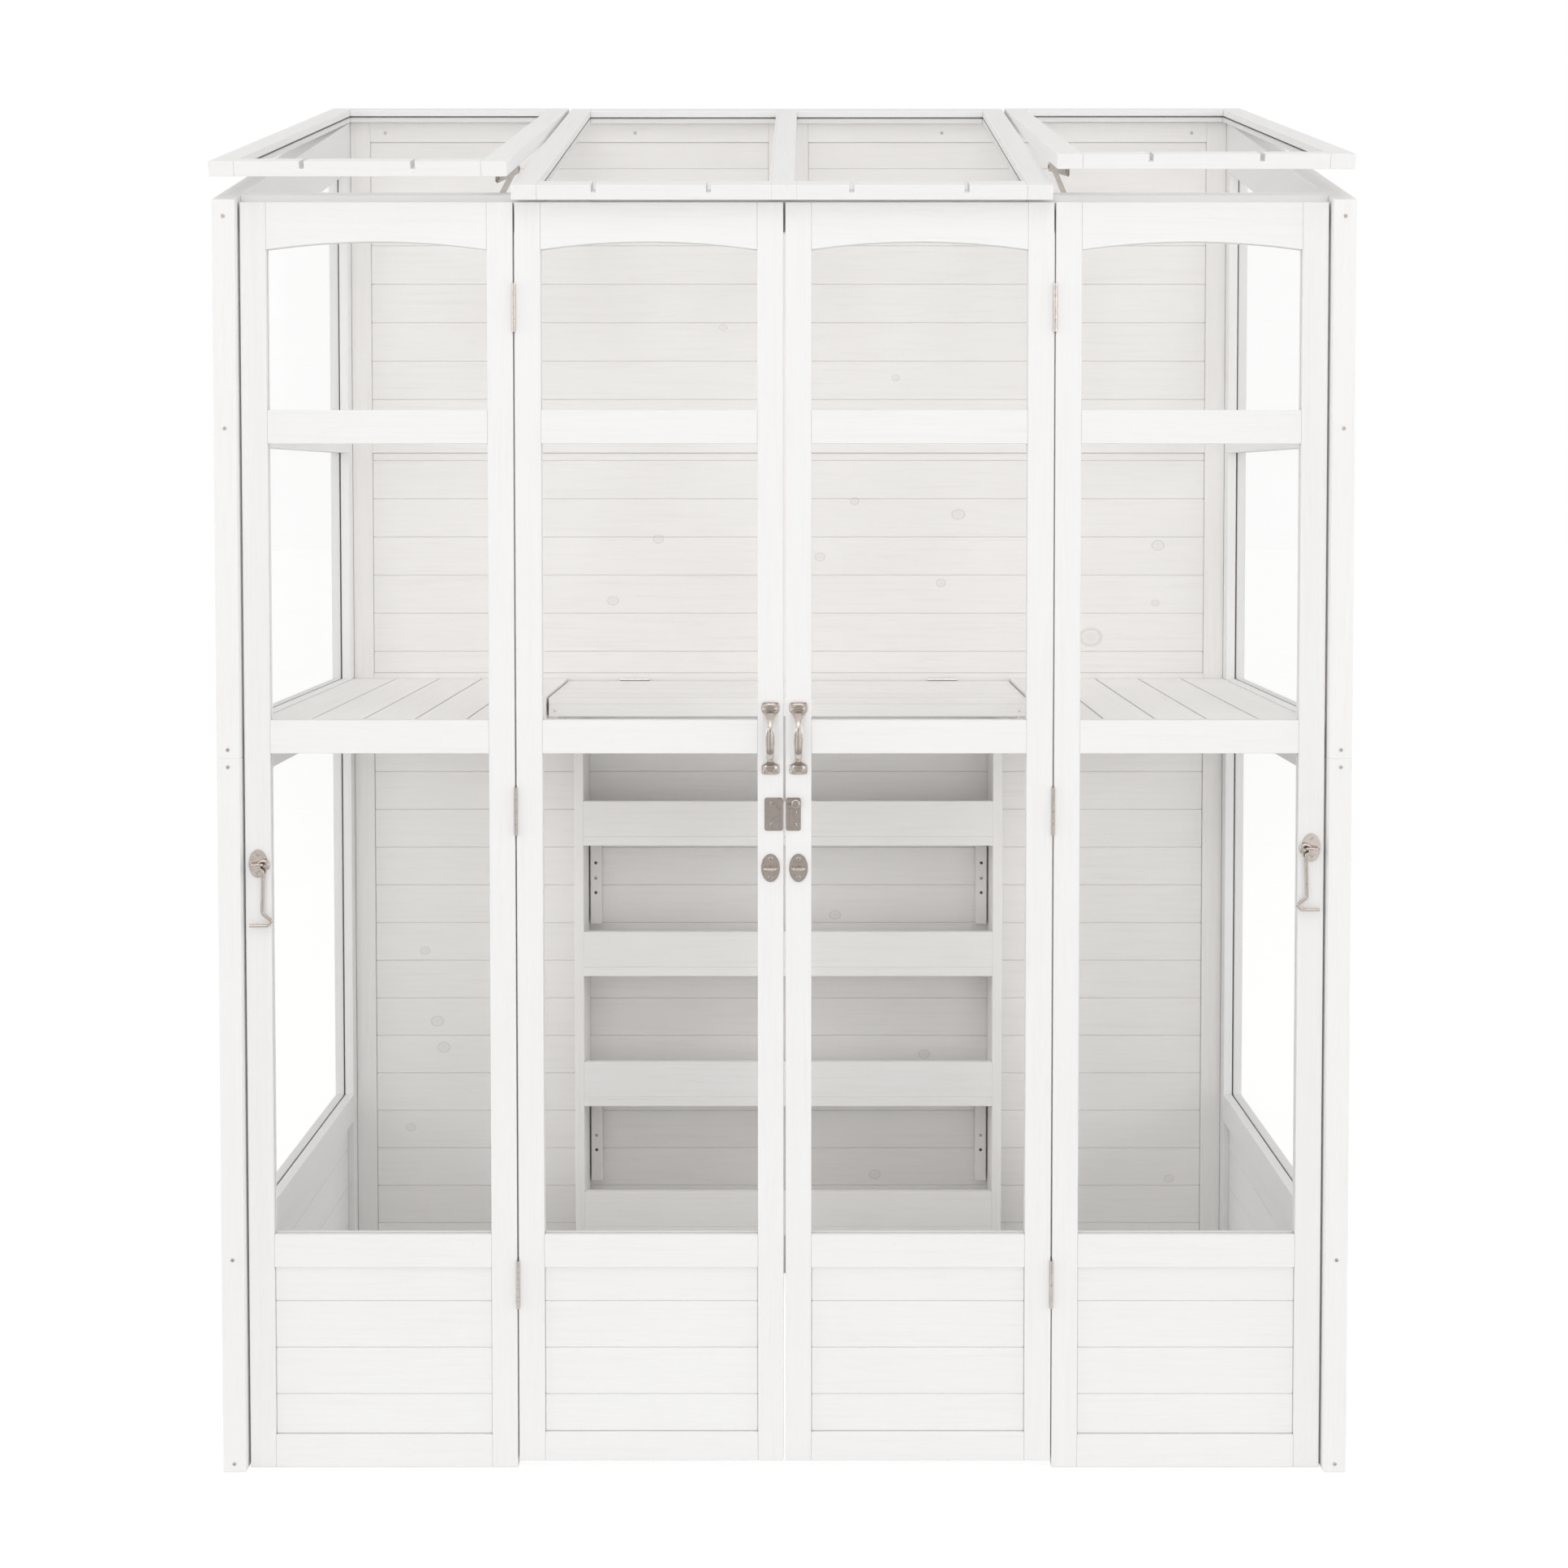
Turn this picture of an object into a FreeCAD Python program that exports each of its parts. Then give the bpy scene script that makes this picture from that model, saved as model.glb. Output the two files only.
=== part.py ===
import FreeCAD, Part
import math
import os
from FreeCAD import Vector

# Wooden mini greenhouse: a timber cabinet with two glazed doors between two fixed
# glazed panels, boarded back, glazed side walls, shelves and a sloping glazed roof
# whose outer thirds lift as flaps.
# Millimetres. X to the right, Y to the back with 0 at the doors' front face, Z up
# from the ground. The last step moves the origin to the middle of the footprint.

# Overall sizes
WIDTH = 1534.0            # over the two side walls
WALL_DEPTH = 760.0        # of a side wall, front to back
POST_PROUD = 15.0         # how far the side walls stand in front of the doors
EAVES_Z = 1734.6          # underside of the roof above the doors' front face
ROOF_SLOPE = 17.0         # degrees, rising to the back
EDGE = 0.7                # softened edge of planed timber
FIT = 0.3                 # gap between pieces that are only laid together

# Side walls: a lower and an upper frame, one on the other
SIDE_T = 31.0
SIDE_STILE = 47.0
SIDE_SPLIT_Z = 979.0      # joint between lower and upper frame
SIDE_LOW_RAIL_Z = 271.0
SIDE_HIGH_RAIL_Z = 1401.6
SIDE_RAIL = 45.0
SIDE_JOINT_RAIL = 36.0    # top rail of the lower frame
SIDE_SILL_RAIL = 43.0     # bottom rail of the upper frame
SIDE_TOP_RAIL = 80.0      # sloping rail under the roof

# Front panels and doors share one pattern of stiles and rails
FRONT_T = 17.0
STILE = 35.0
DOOR_W = 362.0
DOOR_GAP = 3.0            # between the two doors
HINGE_GAP = 2.5           # between a door and its fixed panel
POST_GAP = 3.0            # between a fixed panel and the side wall
DOOR_FOOT = 9.4           # door's lower edge above the ground
PANEL_DROP = 6.1          # panels' top edge below the eaves
BOTTOM_RAIL = 45.4
DOOR_BOTTOM_RAIL = 39.6
RAIL = 45.3
LOW_RAIL_Z = 278.0
MID_RAIL_Z = 984.0
HIGH_RAIL_Z = 1404.0
TOP_RAIL = 63.5
ARCH_RISE = 10.6          # the top rail's lower edge is a shallow arch

# Glazing
PANE_T = 2.0
GROOVE = 8.0              # how deep a pane sits in its frame
FRONT_PANE_Y = 7.0        # pane behind the front face

# Horizontal tongue-and-groove boarding
BOARD_T = 10.0
BOARD_PITCH = 64.6
BOARD_V = 1.2             # chamfer that makes the joint's groove
BOARD_RECESS = 4.0        # boards behind the frame's face
FRONT_TOP_BOARD = 48.0    # visible height of the top board in each bay
SIDE_TOP_BOARD = 48.0

# Back wall: two framed panels side by side
BACK_T = 18.0
BACK_INSET = 2.0          # back wall inside the rear end of the side walls
BACK_STILE = 33.0
BACK_BOTTOM_RAIL = 45.0
BACK_MID_RAIL_Z = 984.0
BACK_HIGH_RAIL_Z = 1402.0
BACK_RAIL = 45.0
BACK_TOP_RAIL = 33.0      # height of the top rail at its inner face
BACK_TOP_BOARDS = (58.0, 13.2, 44.0)   # top board of the lower, middle and upper bay
BACK_RECESS = 3.0
BACK_JOINT = 0.4          # between the two back panels

# Beam over the doors, behind the panels
BEAM_T = 22.0
BEAM_H = 50.0

# Roof: a fixed middle light and two flaps
ROOF_T = 20.0
ROOF_OVERHANG = 19.0      # lower front edge in front of the doors
ROOF_STILE = 34.0
MID_LIGHT_W = 724.0
MID_LIGHT_X = -3.0        # the middle light stands a little to the left
ROOF_NARROWER = 7.0       # roof over both flaps less than the cabinet's width
FLAP_GAP = 4.5            # between middle light and flap
FLAP_SEAT = 0.4           # closed flap above the walls' top edge
LEFT_FLAP_OPEN = 2.2      # degrees that each flap stands open
RIGHT_FLAP_OPEN = 2.9
ROOF_PANE_W = 8.0         # pane's underside above the light's underside
DRAIN_WIDTH = 6.5         # notches that drain the panes
FLAP_DRAINS = (0.275, 0.725)     # their shares of the way across a flap's pane
MIDDLE_DRAINS = (0.245, 0.74)    # and across each pane of the middle light

# Shelves at half height
SHELF_RISE = 36.0         # shelf top above the underside of the middle rail
SHELF_T = 15.0
SHELF_BOARD = 70.0
SHELF_BOARD_GAP = 2.5
SHELF_BOARDS = 5
BEARER_T = 20.0
BEARER_H = 20.0
INNER_BEARER_H = 39.0

# Folding middle shelf
FOLD_DEPTH = 286.5
FOLD_DROP = 4.0           # its top below the side shelves' top
FOLD_SIDE_GAP = 3.5
SLAT_T = 9.7
SLATS = 4
SLAT_GAP = 2.5
FOLD_RAIL_T = 20.0
FOLD_RAIL_H = 19.4
CLEAT_T = 15.0
CLEAT_H = 20.0

# Pot rack at the bottom of the back wall
RACK_W = 706.0
RACK_DEPTH = 103.0
RACK_BOARD = 15.0
RACK_H = 950.0
RACK_LEVELS = 4
RACK_FIRST_Z = 116.2      # top of the lowest rack shelf
RACK_PITCH = 217.1
LIP_T = 12.0
LIP_H = 58.8
BATTEN_W = 18.0
BATTEN_T = 18.0
BATTEN_H = 147.0
BATTEN_INSET = 3.0        # from the rack's side board
BATTEN_Z = (166.0, 605.0)
BATTEN_SCREW_RISE = 78.0  # above the batten's lower end

# Butt hinges
KNUCKLE_R = 2.2
PIN_R = 1.0
PIN_RUN = 0.08            # radial clearance of pin in knuckle
KNUCKLES = 4
KNUCKLE_GAP = 0.3
KNUCKLE_OFF = 0.3         # knuckle clear of the timber
LEAF_T = 1.0
LEAF_W = 14.0
HINGE_LENGTH = 66.0
DOOR_HINGE_Z = (255.0, 905.0, 1587.0)  # middle of each hinge
FLAP_HINGE_INSET = 48.5   # end of a hinge from the flap's edge
FLAP_HINGE_LENGTH = 60.0
FOLD_HINGE_SPREAD = 520.0
FOLD_HINGE_LENGTH = 50.0

# Screws
SCREW_R = 3.4
SCREW_HEAD = 1.0
SCREW_RECESS = 0.5        # depth of the cross in a head
SMALL_SCREW_R = 2.6
POST_SCREW_EDGE = 11.7    # from the end of a post
POST_SCREW_TOP = 22.0     # below the roof's plane
BACK_SCREW_RISE = 15.0    # above the lower edge of the back's top rail
BACK_SCREW_SHARES = (-0.92, -0.35, 0.35, 0.92)   # of the way from the middle to the side walls

# Pull handles
HANDLE_Z = 1004.9         # middle of the handle
HANDLE_H = 98.7
HANDLE_STANDOFF = 28.0
FOOT_W = 24.7
FOOT_H = 15.8
FOOT_T = 2.2
FOOT_CORNER = 2.5
FOOT_SCREW_X = 6.7        # screws to each side of the handle's middle
FOOT_SCREW_OUT = 2.2      # and beyond the foot's middle
GRIP_T = 4.4
GRIP_ROOT_T = 1.4         # thickness where the grip leaves its feet
GRIP_PROFILE = (          # share of the way down, width there
    (0.0, 11.0), (0.08, 9.0), (0.16, 6.0), (0.27, 9.0), (0.4, 12.0), (0.55, 11.5),
    (0.7, 10.5), (0.84, 9.0), (0.93, 8.2), (1.0, 7.7),
)

# Slide latch at the doors' meeting stiles
LATCH_Z = 916.4           # bolt's height
KEEPER_W = 25.0
LATCH_W = 20.0
LATCH_H = 45.0
LATCH_PLATE_T = 1.5
LATCH_EDGE_GAP = 0.6      # plate from the door's edge
BOLT_H = 9.0
BOLT_T = 2.4
BOLT_LENGTH = 19.0
BOLT_TRAVEL = 9.0
KEEPER_STRAP_W = 7.0
STRAP_T = 1.4
STRAP_RUN = 0.3
KNOB_R = 6.0
KNOB_H = 3.4
KNOB_STEM_R = 1.5
KNOB_DOME = 0.6           # share of the knob's height that is rounded
LATCH_CORNER = 3.0
KEEPER_SCREWS = (0.0, -29.0)     # heights from the bolt
LATCH_SCREWS = (-12.5, -29.0)
LATCH_TOP = 7.5           # plates' top edge above the bolt
RIDGE_W = 4.0
RIDGE_T = 2.4

# Oval plates with a staple, and the cabin hooks
EYE_W = 25.4
EYE_H = 38.5
EYE_SCREW_EDGE = 6.5      # middle of a screw from the plate's end
EYE_T = 1.5
STAPLE_R = 8.5
STAPLE_WIRE = 1.8
STAPLE_OUT = 4.0          # staple's centre in front of the plate
DOOR_EYE_Z = 828.0
HOOK_PLATE_Z = (833.7, 855.8)   # left and right
HOOK_WIRE = 2.3
HOOK_RING_R = 6.4
HOOK_SHAFT = 58.6
HOOK_LEAN = 2.0           # shaft outwards over its length
HOOK_KINK = 13.0          # sideways step above the bend
HOOK_KINK_DROP = 10.5
HOOK_BEND = 6.5
HOOK_BEND_OUT = 6.0
HOOK_TIP = 24.4
HOOK_PLANE = 6.6          # hook's middle plane in front of the panels

# Folding stays that hold the flaps
STAY_ARM_H = 13.0
STAY_ARM_T = 2.0
STAY_FLAP_V = 75.0        # upper pivot from the flap's front edge
STAY_PIVOT_DROP = 10.0    # upper pivot below the flap's underside
STAY_POST_Y = 50.0
STAY_POST_Z = 1727.0
STAY_ELBOW = (262.0, 1798.0)   # elbow's place when the flap is closed
STAY_INSET = 22.0         # upper arm from the flap's inner edge
STAY_STEP = 5.0           # between the two arms' planes
RIVET_R = 3.0
BRACKET_T = 1.6
BRACKET_FOOT = 10.0
BRACKET_ROOT = 4.0        # ear drawn into the flap before it is cut to it
RIVET_HEAD = 1.2

# Worked out from the sizes above
HALF_WIDTH = WIDTH / 2
SIDE_INNER = HALF_WIDTH - SIDE_T
WALL_FRONT_Y = -POST_PROUD
WALL_REAR_Y = WALL_DEPTH - POST_PROUD
SLOPE = math.radians(ROOF_SLOPE)
ROOF_FRONT_Y = -ROOF_OVERHANG
BACK_OUTER_Y = WALL_REAR_Y - BACK_INSET
BACK_INNER_Y = BACK_OUTER_Y - BACK_T
ROOF_LENGTH = (BACK_OUTER_Y + ROOF_OVERHANG) / math.cos(SLOPE)
FLAP_W = (WIDTH - ROOF_NARROWER - MID_LIGHT_W) / 2 - FLAP_GAP
PANEL_TOP = EAVES_Z - PANEL_DROP
DOOR_INNER = DOOR_GAP / 2
DOOR_OUTER = DOOR_INNER + DOOR_W
PANEL_INNER = DOOR_OUTER + HINGE_GAP
PANEL_OUTER = SIDE_INNER - POST_GAP
SHELF_TOP = MID_RAIL_Z + SHELF_RISE
SHELF_BOTTOM = SHELF_TOP - SHELF_T
SHELF_FRONT_Y = FRONT_T + FIT
SHELF_INNER = SIDE_INNER - FIT - SHELF_BOARDS * (SHELF_BOARD + SHELF_BOARD_GAP) + SHELF_BOARD_GAP
FOLD_HALF = SHELF_INNER - FOLD_SIDE_GAP
FOLD_TOP = SHELF_TOP - FOLD_DROP
FOLD_REAR_Y = BACK_INNER_Y - HINGE_GAP
HINGE_AXIS_OUT = KNUCKLE_R + KNUCKLE_OFF
DOOR_AXIS_X = DOOR_OUTER + HINGE_GAP / 2
DOOR_AXIS_Y = -HINGE_AXIS_OUT
FOLD_AXIS_Y = BACK_INNER_Y - HINGE_AXIS_OUT
FOLD_AXIS_Z = FOLD_TOP + HINGE_AXIS_OUT
FLAP_AXIS_Y = BACK_OUTER_Y + HINGE_AXIS_OUT
DOOR_STILE_X = DOOR_INNER + STILE / 2
STRAP_FRONT = -(LATCH_PLATE_T + BOLT_T + 2 * STRAP_RUN + STRAP_T)
KNOB_X = DOOR_INNER + LATCH_EDGE_GAP + BOLT_LENGTH - KNOB_R
PANEL_STILE_X = PANEL_OUTER - STILE / 2
X_AXIS = Vector(1, 0, 0)
Y_AXIS = Vector(0, 1, 0)
Z_AXIS = Vector(0, 0, 1)
ORIGIN = Vector(0, 0, 0)


def roof_z(y):
    """Height of the plane that the roof's underside lies in."""
    return EAVES_Z + y * math.tan(SLOPE)


FLAP_AXIS_Z = roof_z(BACK_OUTER_Y) + FLAP_SEAT / 2
BACK_TOP_RAIL_Z = roof_z(BACK_INNER_Y) - BACK_TOP_RAIL


def box(x0, x1, y0, y1, z0, z1):
    """Plain block between two values on each axis, given in either order."""
    xs, ys, zs = sorted((x0, x1)), sorted((y0, y1)), sorted((z0, z1))
    return Part.makeBox(xs[1] - xs[0], ys[1] - ys[0], zs[1] - zs[0], Vector(xs[0], ys[0], zs[0]))


def soften(shape, size=EDGE):
    """Break every edge of a piece of timber."""
    return shape.makeChamfer(size, shape.Edges)


def plank(x0, x1, y0, y1, z0, z1):
    """Block of planed timber with softened edges."""
    return soften(box(x0, x1, y0, y1, z0, z1))


def prism(points, x0, x1):
    """Softened timber with an outline of (y, z) points, reaching from x0 to x1."""
    low = min(x0, x1)
    corners = [Vector(low, y, z) for y, z in points]
    outline = Part.makePolygon(corners + corners[:1])
    return soften(Part.Face(outline).extrude(Vector(abs(x1 - x0), 0, 0)))


def rod(start, end, radius):
    """Round bar between two points."""
    along = end - start
    return Part.makeCylinder(radius, along.Length, start, along)


def mirrored(shapes):
    """The same pieces on the other side of the middle plane."""
    return [shape.mirror(ORIGIN, X_AXIS) for shape in shapes]


def arched_rail(x0, x1, y0, thickness, z_low, rise, z_top):
    """Top rail whose lower edge is an arch."""
    middle = (x0 + x1) / 2
    corners = [Vector(x1, y0, z_low), Vector(x1, y0, z_top), Vector(x0, y0, z_top), Vector(x0, y0, z_low)]
    arch = Part.Arc(corners[3], Vector(middle, y0, z_low + rise), corners[0]).toShape()
    sides = [Part.makeLine(corners[i], corners[i + 1]) for i in range(3)]
    face = Part.Face(Part.Wire([arch] + sides))
    return soften(face.extrude(Vector(0, thickness, 0)))


def screw(centre, outward, radius=SCREW_R):
    """Domed screw head with a cross, seated on the face that its centre lies on."""
    head = Part.makeCylinder(radius, SCREW_HEAD, centre, outward)
    rim = [edge for edge in head.Edges if abs((edge.CenterOfMass - centre).dot(outward) - SCREW_HEAD) < 0.01]
    head = head.makeChamfer(SCREW_HEAD * 0.6, rim)
    side = Z_AXIS if abs(outward.z) < 0.9 else X_AXIS
    other = side.cross(outward)
    top = centre + outward * (SCREW_HEAD - SCREW_RECESS)
    for long_way, short_way in ((side, other), (other, side)):
        corner = top - long_way * (radius * 0.55) - short_way * (radius * 0.12)
        slot = Part.Face(Part.makePolygon([
            corner,
            corner + long_way * (radius * 1.1),
            corner + long_way * (radius * 1.1) + short_way * (radius * 0.24),
            corner + short_way * (radius * 0.24),
            corner,
        ])).extrude(outward * (SCREW_RECESS * 2))
        head = head.cut(slot)
    return head


def glaze(members, x0, x1, y0, y1, z0, z1):
    """Cut a pane's seat into the frame members round it and return the pane too."""
    pane = box(x0, x1, y0, y1, z0, z1)
    seat = box(x0 - FIT, x1 + FIT, y0, y1, z0 - FIT, z1 + FIT)
    return [member.cut(seat) for member in members], pane


def board_bay(x0, x1, y0, y1, z_low, z_high, top_board):
    """Boards laid one above the other, counted down from a part-width top board."""
    boards = []
    upper = z_high
    lower = z_high - top_board
    while upper > z_low + BOARD_V * 3:
        if lower < z_low + BOARD_V * 3:
            lower = z_low
        board = box(x0, x1, y0, y1, lower, upper)
        boards.append(board.makeChamfer(BOARD_V, board.Edges))
        upper = lower
        lower = upper - BOARD_PITCH
    return boards


# Side walls, drawn for the right and mirrored for the left

def side_wall_lower():
    """Frame, boards and pane below the joint."""
    x0, x1 = SIDE_INNER, HALF_WIDTH
    front, rear = WALL_FRONT_Y, WALL_REAR_Y
    inner_front, inner_rear = front + SIDE_STILE, rear - SIDE_STILE
    low_top = SIDE_LOW_RAIL_Z + SIDE_RAIL
    top_low = SIDE_SPLIT_Z - SIDE_JOINT_RAIL
    frame = [
        plank(x0, x1, front, inner_front, 0, SIDE_SPLIT_Z),
        plank(x0, x1, inner_rear, rear, 0, SIDE_SPLIT_Z),
        plank(x0, x1, inner_front, inner_rear, 0, SIDE_RAIL),
        plank(x0, x1, inner_front, inner_rear, SIDE_LOW_RAIL_Z, low_top),
        plank(x0, x1, inner_front, inner_rear, top_low, SIDE_SPLIT_Z),
    ]
    middle = (x0 + x1) / 2
    frame, pane = glaze(
        frame,
        middle - PANE_T / 2, middle + PANE_T / 2,
        inner_front - GROOVE, inner_rear + GROOVE,
        low_top - GROOVE, top_low + GROOVE,
    )
    boards = board_bay(
        middle - BOARD_T / 2, middle + BOARD_T / 2, inner_front, inner_rear,
        SIDE_RAIL, SIDE_LOW_RAIL_Z, SIDE_TOP_BOARD,
    )
    return frame, boards, pane


def side_wall_upper():
    """Frame and panes above the joint, with a sloping top rail."""
    x0, x1 = SIDE_INNER, HALF_WIDTH
    front, rear = WALL_FRONT_Y, WALL_REAR_Y
    inner_front, inner_rear = front + SIDE_STILE, rear - SIDE_STILE
    sill_top = SIDE_SPLIT_Z + SIDE_SILL_RAIL
    high_top = SIDE_HIGH_RAIL_Z + SIDE_RAIL
    frame = []
    for y0, y1 in ((front, inner_front), (inner_rear, rear)):
        outline = [(y0, SIDE_SPLIT_Z), (y1, SIDE_SPLIT_Z), (y1, roof_z(y1)), (y0, roof_z(y0))]
        frame.append(prism(outline, x0, x1))
    frame.append(plank(x0, x1, inner_front, inner_rear, SIDE_SPLIT_Z, sill_top))
    frame.append(plank(x0, x1, inner_front, inner_rear, SIDE_HIGH_RAIL_Z, high_top))
    frame.append(prism([
        (inner_front, roof_z(inner_front) - SIDE_TOP_RAIL),
        (inner_rear, roof_z(inner_rear) - SIDE_TOP_RAIL),
        (inner_rear, roof_z(inner_rear)),
        (inner_front, roof_z(inner_front)),
    ], x0, x1))
    middle = (x0 + x1) / 2
    frame, lower_pane = glaze(
        frame,
        middle - PANE_T / 2, middle + PANE_T / 2,
        inner_front - GROOVE, inner_rear + GROOVE,
        sill_top - GROOVE, SIDE_HIGH_RAIL_Z + GROOVE,
    )
    pane_x0 = middle - PANE_T / 2
    pane_front, pane_rear = inner_front - GROOVE, inner_rear + GROOVE
    pane_low = high_top - GROOVE
    pane_rise = GROOVE - SIDE_TOP_RAIL

    def sloping_pane(grow):
        corners = [
            Vector(pane_x0, pane_front - grow, pane_low - grow),
            Vector(pane_x0, pane_rear + grow, pane_low - grow),
            Vector(pane_x0, pane_rear + grow, roof_z(pane_rear) + pane_rise + grow),
            Vector(pane_x0, pane_front - grow, roof_z(pane_front) + pane_rise + grow),
        ]
        return Part.Face(Part.makePolygon(corners + corners[:1])).extrude(Vector(PANE_T, 0, 0))

    upper_pane = sloping_pane(0)
    frame = [member.cut(sloping_pane(FIT)) for member in frame]
    return frame, [lower_pane, upper_pane]


# Back wall

def back_panel():
    """Right-hand back panel: frame and boards."""
    x0, x1 = BACK_JOINT / 2, SIDE_INNER - FIT
    y0, y1 = BACK_INNER_Y, BACK_OUTER_Y
    inner0, inner1 = x0 + BACK_STILE, x1 - BACK_STILE
    slope_top = [(y1, roof_z(y1)), (y0, roof_z(y0))]
    frame = [
        prism([(y0, 0), (y1, 0)] + slope_top, x0, inner0),
        prism([(y0, 0), (y1, 0)] + slope_top, inner1, x1),
        plank(inner0, inner1, y0, y1, 0, BACK_BOTTOM_RAIL),
        plank(inner0, inner1, y0, y1, BACK_MID_RAIL_Z, BACK_MID_RAIL_Z + BACK_RAIL),
        plank(inner0, inner1, y0, y1, BACK_HIGH_RAIL_Z, BACK_HIGH_RAIL_Z + BACK_RAIL),
        prism([(y0, BACK_TOP_RAIL_Z), (y1, BACK_TOP_RAIL_Z)] + slope_top, inner0, inner1),
    ]
    bays = (
        (BACK_BOTTOM_RAIL, BACK_MID_RAIL_Z),
        (BACK_MID_RAIL_Z + BACK_RAIL, BACK_HIGH_RAIL_Z),
        (BACK_HIGH_RAIL_Z + BACK_RAIL, BACK_TOP_RAIL_Z),
    )
    boards = []
    for (low, high), top_board in zip(bays, BACK_TOP_BOARDS):
        face = y0 + BACK_RECESS
        boards += board_bay(inner0, inner1, face, face + BOARD_T, low, high, top_board)
    return frame, boards


def top_beam():
    """Beam over the doors, bevelled to the roof's slope."""
    y0, y1 = FRONT_T + FIT, FRONT_T + FIT + BEAM_T
    low = roof_z(y0) - BEAM_H
    outline = [(y0, low), (y1, low), (y1, roof_z(y1)), (y0, roof_z(y0))]
    return prism(outline, -SIDE_INNER, SIDE_INNER)


# Front panels and doors

def front_leaf(x0, x1, foot_z, bottom_rail):
    """Frame, boards and panes of one door or fixed panel."""
    inner0, inner1 = x0 + STILE, x1 - STILE
    frame = [
        plank(x0, inner0, 0, FRONT_T, foot_z, PANEL_TOP),
        plank(inner1, x1, 0, FRONT_T, foot_z, PANEL_TOP),
        plank(inner0, inner1, 0, FRONT_T, foot_z, foot_z + bottom_rail),
    ]
    for low in (LOW_RAIL_Z, MID_RAIL_Z, HIGH_RAIL_Z):
        frame.append(plank(inner0, inner1, 0, FRONT_T, low, low + RAIL))
    arch_low = PANEL_TOP - TOP_RAIL
    frame.append(arched_rail(inner0, inner1, 0, FRONT_T, arch_low, ARCH_RISE, PANEL_TOP))
    bays = (
        (LOW_RAIL_Z + RAIL, MID_RAIL_Z),
        (MID_RAIL_Z + RAIL, HIGH_RAIL_Z),
        (HIGH_RAIL_Z + RAIL, arch_low + ARCH_RISE),
    )
    panes = []
    for low, high in bays:
        frame, pane = glaze(
            frame,
            inner0 - GROOVE, inner1 + GROOVE,
            FRONT_PANE_Y, FRONT_PANE_Y + PANE_T,
            low - GROOVE, high + GROOVE,
        )
        panes.append(pane)
    boards = board_bay(
        inner0, inner1, BOARD_RECESS, BOARD_RECESS + BOARD_T,
        foot_z + bottom_rail, LOW_RAIL_Z, FRONT_TOP_BOARD,
    )
    return frame, boards, panes


# Roof lights, drawn flat with X across, Y up the slope and Z out of the roof

def on_roof(shapes):
    """Lay flat-drawn pieces on the roof's plane."""
    placed = []
    for shape in shapes:
        copy = shape.copy()
        copy.rotate(ORIGIN, X_AXIS, ROOF_SLOPE)
        copy.translate(Vector(0, ROOF_FRONT_Y, roof_z(ROOF_FRONT_Y)))
        placed.append(copy)
    return placed


def roof_light(x0, x1, base, muntins, drains):
    """Frame and panes of a roof light with evenly spaced muntins."""
    low, top = base, base + ROOF_T
    inner_end = ROOF_LENGTH - ROOF_STILE
    frame = [
        plank(x0, x0 + ROOF_STILE, 0, ROOF_LENGTH, low, top),
        plank(x1 - ROOF_STILE, x1, 0, ROOF_LENGTH, low, top),
        plank(x0 + ROOF_STILE, x1 - ROOF_STILE, 0, ROOF_STILE, low, top),
        plank(x0 + ROOF_STILE, x1 - ROOF_STILE, inner_end, ROOF_LENGTH, low, top),
    ]
    clear = x1 - x0 - 2 * ROOF_STILE
    pane_clear = (clear - muntins * ROOF_STILE) / (muntins + 1)
    panes = []
    pane_z = base + ROOF_PANE_W
    for number in range(muntins + 1):
        left = x0 + ROOF_STILE + number * (pane_clear + ROOF_STILE)
        right = left + pane_clear
        if number < muntins:
            frame.append(plank(right, right + ROOF_STILE, ROOF_STILE, inner_end, low, top))
        frame, pane = glaze(
            frame,
            left - GROOVE, right + GROOVE,
            ROOF_STILE - GROOVE, inner_end + GROOVE,
            pane_z, pane_z + PANE_T,
        )
        panes.append(pane)
        for share in drains:
            middle = left + pane_clear * share
            notch = box(
                middle - DRAIN_WIDTH / 2, middle + DRAIN_WIDTH / 2,
                -1, ROOF_STILE + 1, pane_z + PANE_T, top + 1,
            )
            frame[2] = frame[2].cut(notch)
    return frame, panes


def raised(shapes, degrees):
    """Swing flap pieces up about the hinge line behind the back wall."""
    copies = []
    for shape in shapes:
        copy = shape.copy()
        copy.rotate(Vector(0, FLAP_AXIS_Y, FLAP_AXIS_Z), X_AXIS, -degrees)
        copies.append(copy)
    return copies


def raised_point(y, z, degrees):
    """The same swing for a point, as (y, z)."""
    turn = math.radians(degrees)
    dy, dz = y - FLAP_AXIS_Y, z - FLAP_AXIS_Z
    return (
        FLAP_AXIS_Y + dy * math.cos(turn) + dz * math.sin(turn),
        FLAP_AXIS_Z - dy * math.sin(turn) + dz * math.cos(turn),
    )


# Hinges

def hinge_pair(start, along, length, fixed_plate, moving_plate):
    """Two leaves with interleaved knuckles; the fixed one carries the pin."""
    step = length / KNUCKLES
    leaves = [fixed_plate, moving_plate]
    for number in range(KNUCKLES):
        other = 1 - number % 2
        relief_start = start + along * (number * step - KNUCKLE_GAP / 2)
        relief = Part.makeCylinder(KNUCKLE_R + KNUCKLE_GAP, step + KNUCKLE_GAP, relief_start, along)
        leaves[other] = leaves[other].cut(relief)
    for number in range(KNUCKLES):
        own = number % 2
        low = start + along * (number * step + KNUCKLE_GAP / 2)
        leaves[own] = leaves[own].fuse(Part.makeCylinder(KNUCKLE_R, step - KNUCKLE_GAP, low, along))
    fixed = leaves[0].fuse(Part.makeCylinder(PIN_R, length, start, along))
    moving = leaves[1].cut(Part.makeCylinder(PIN_R + PIN_RUN, length, start, along))
    return fixed, moving


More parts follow.
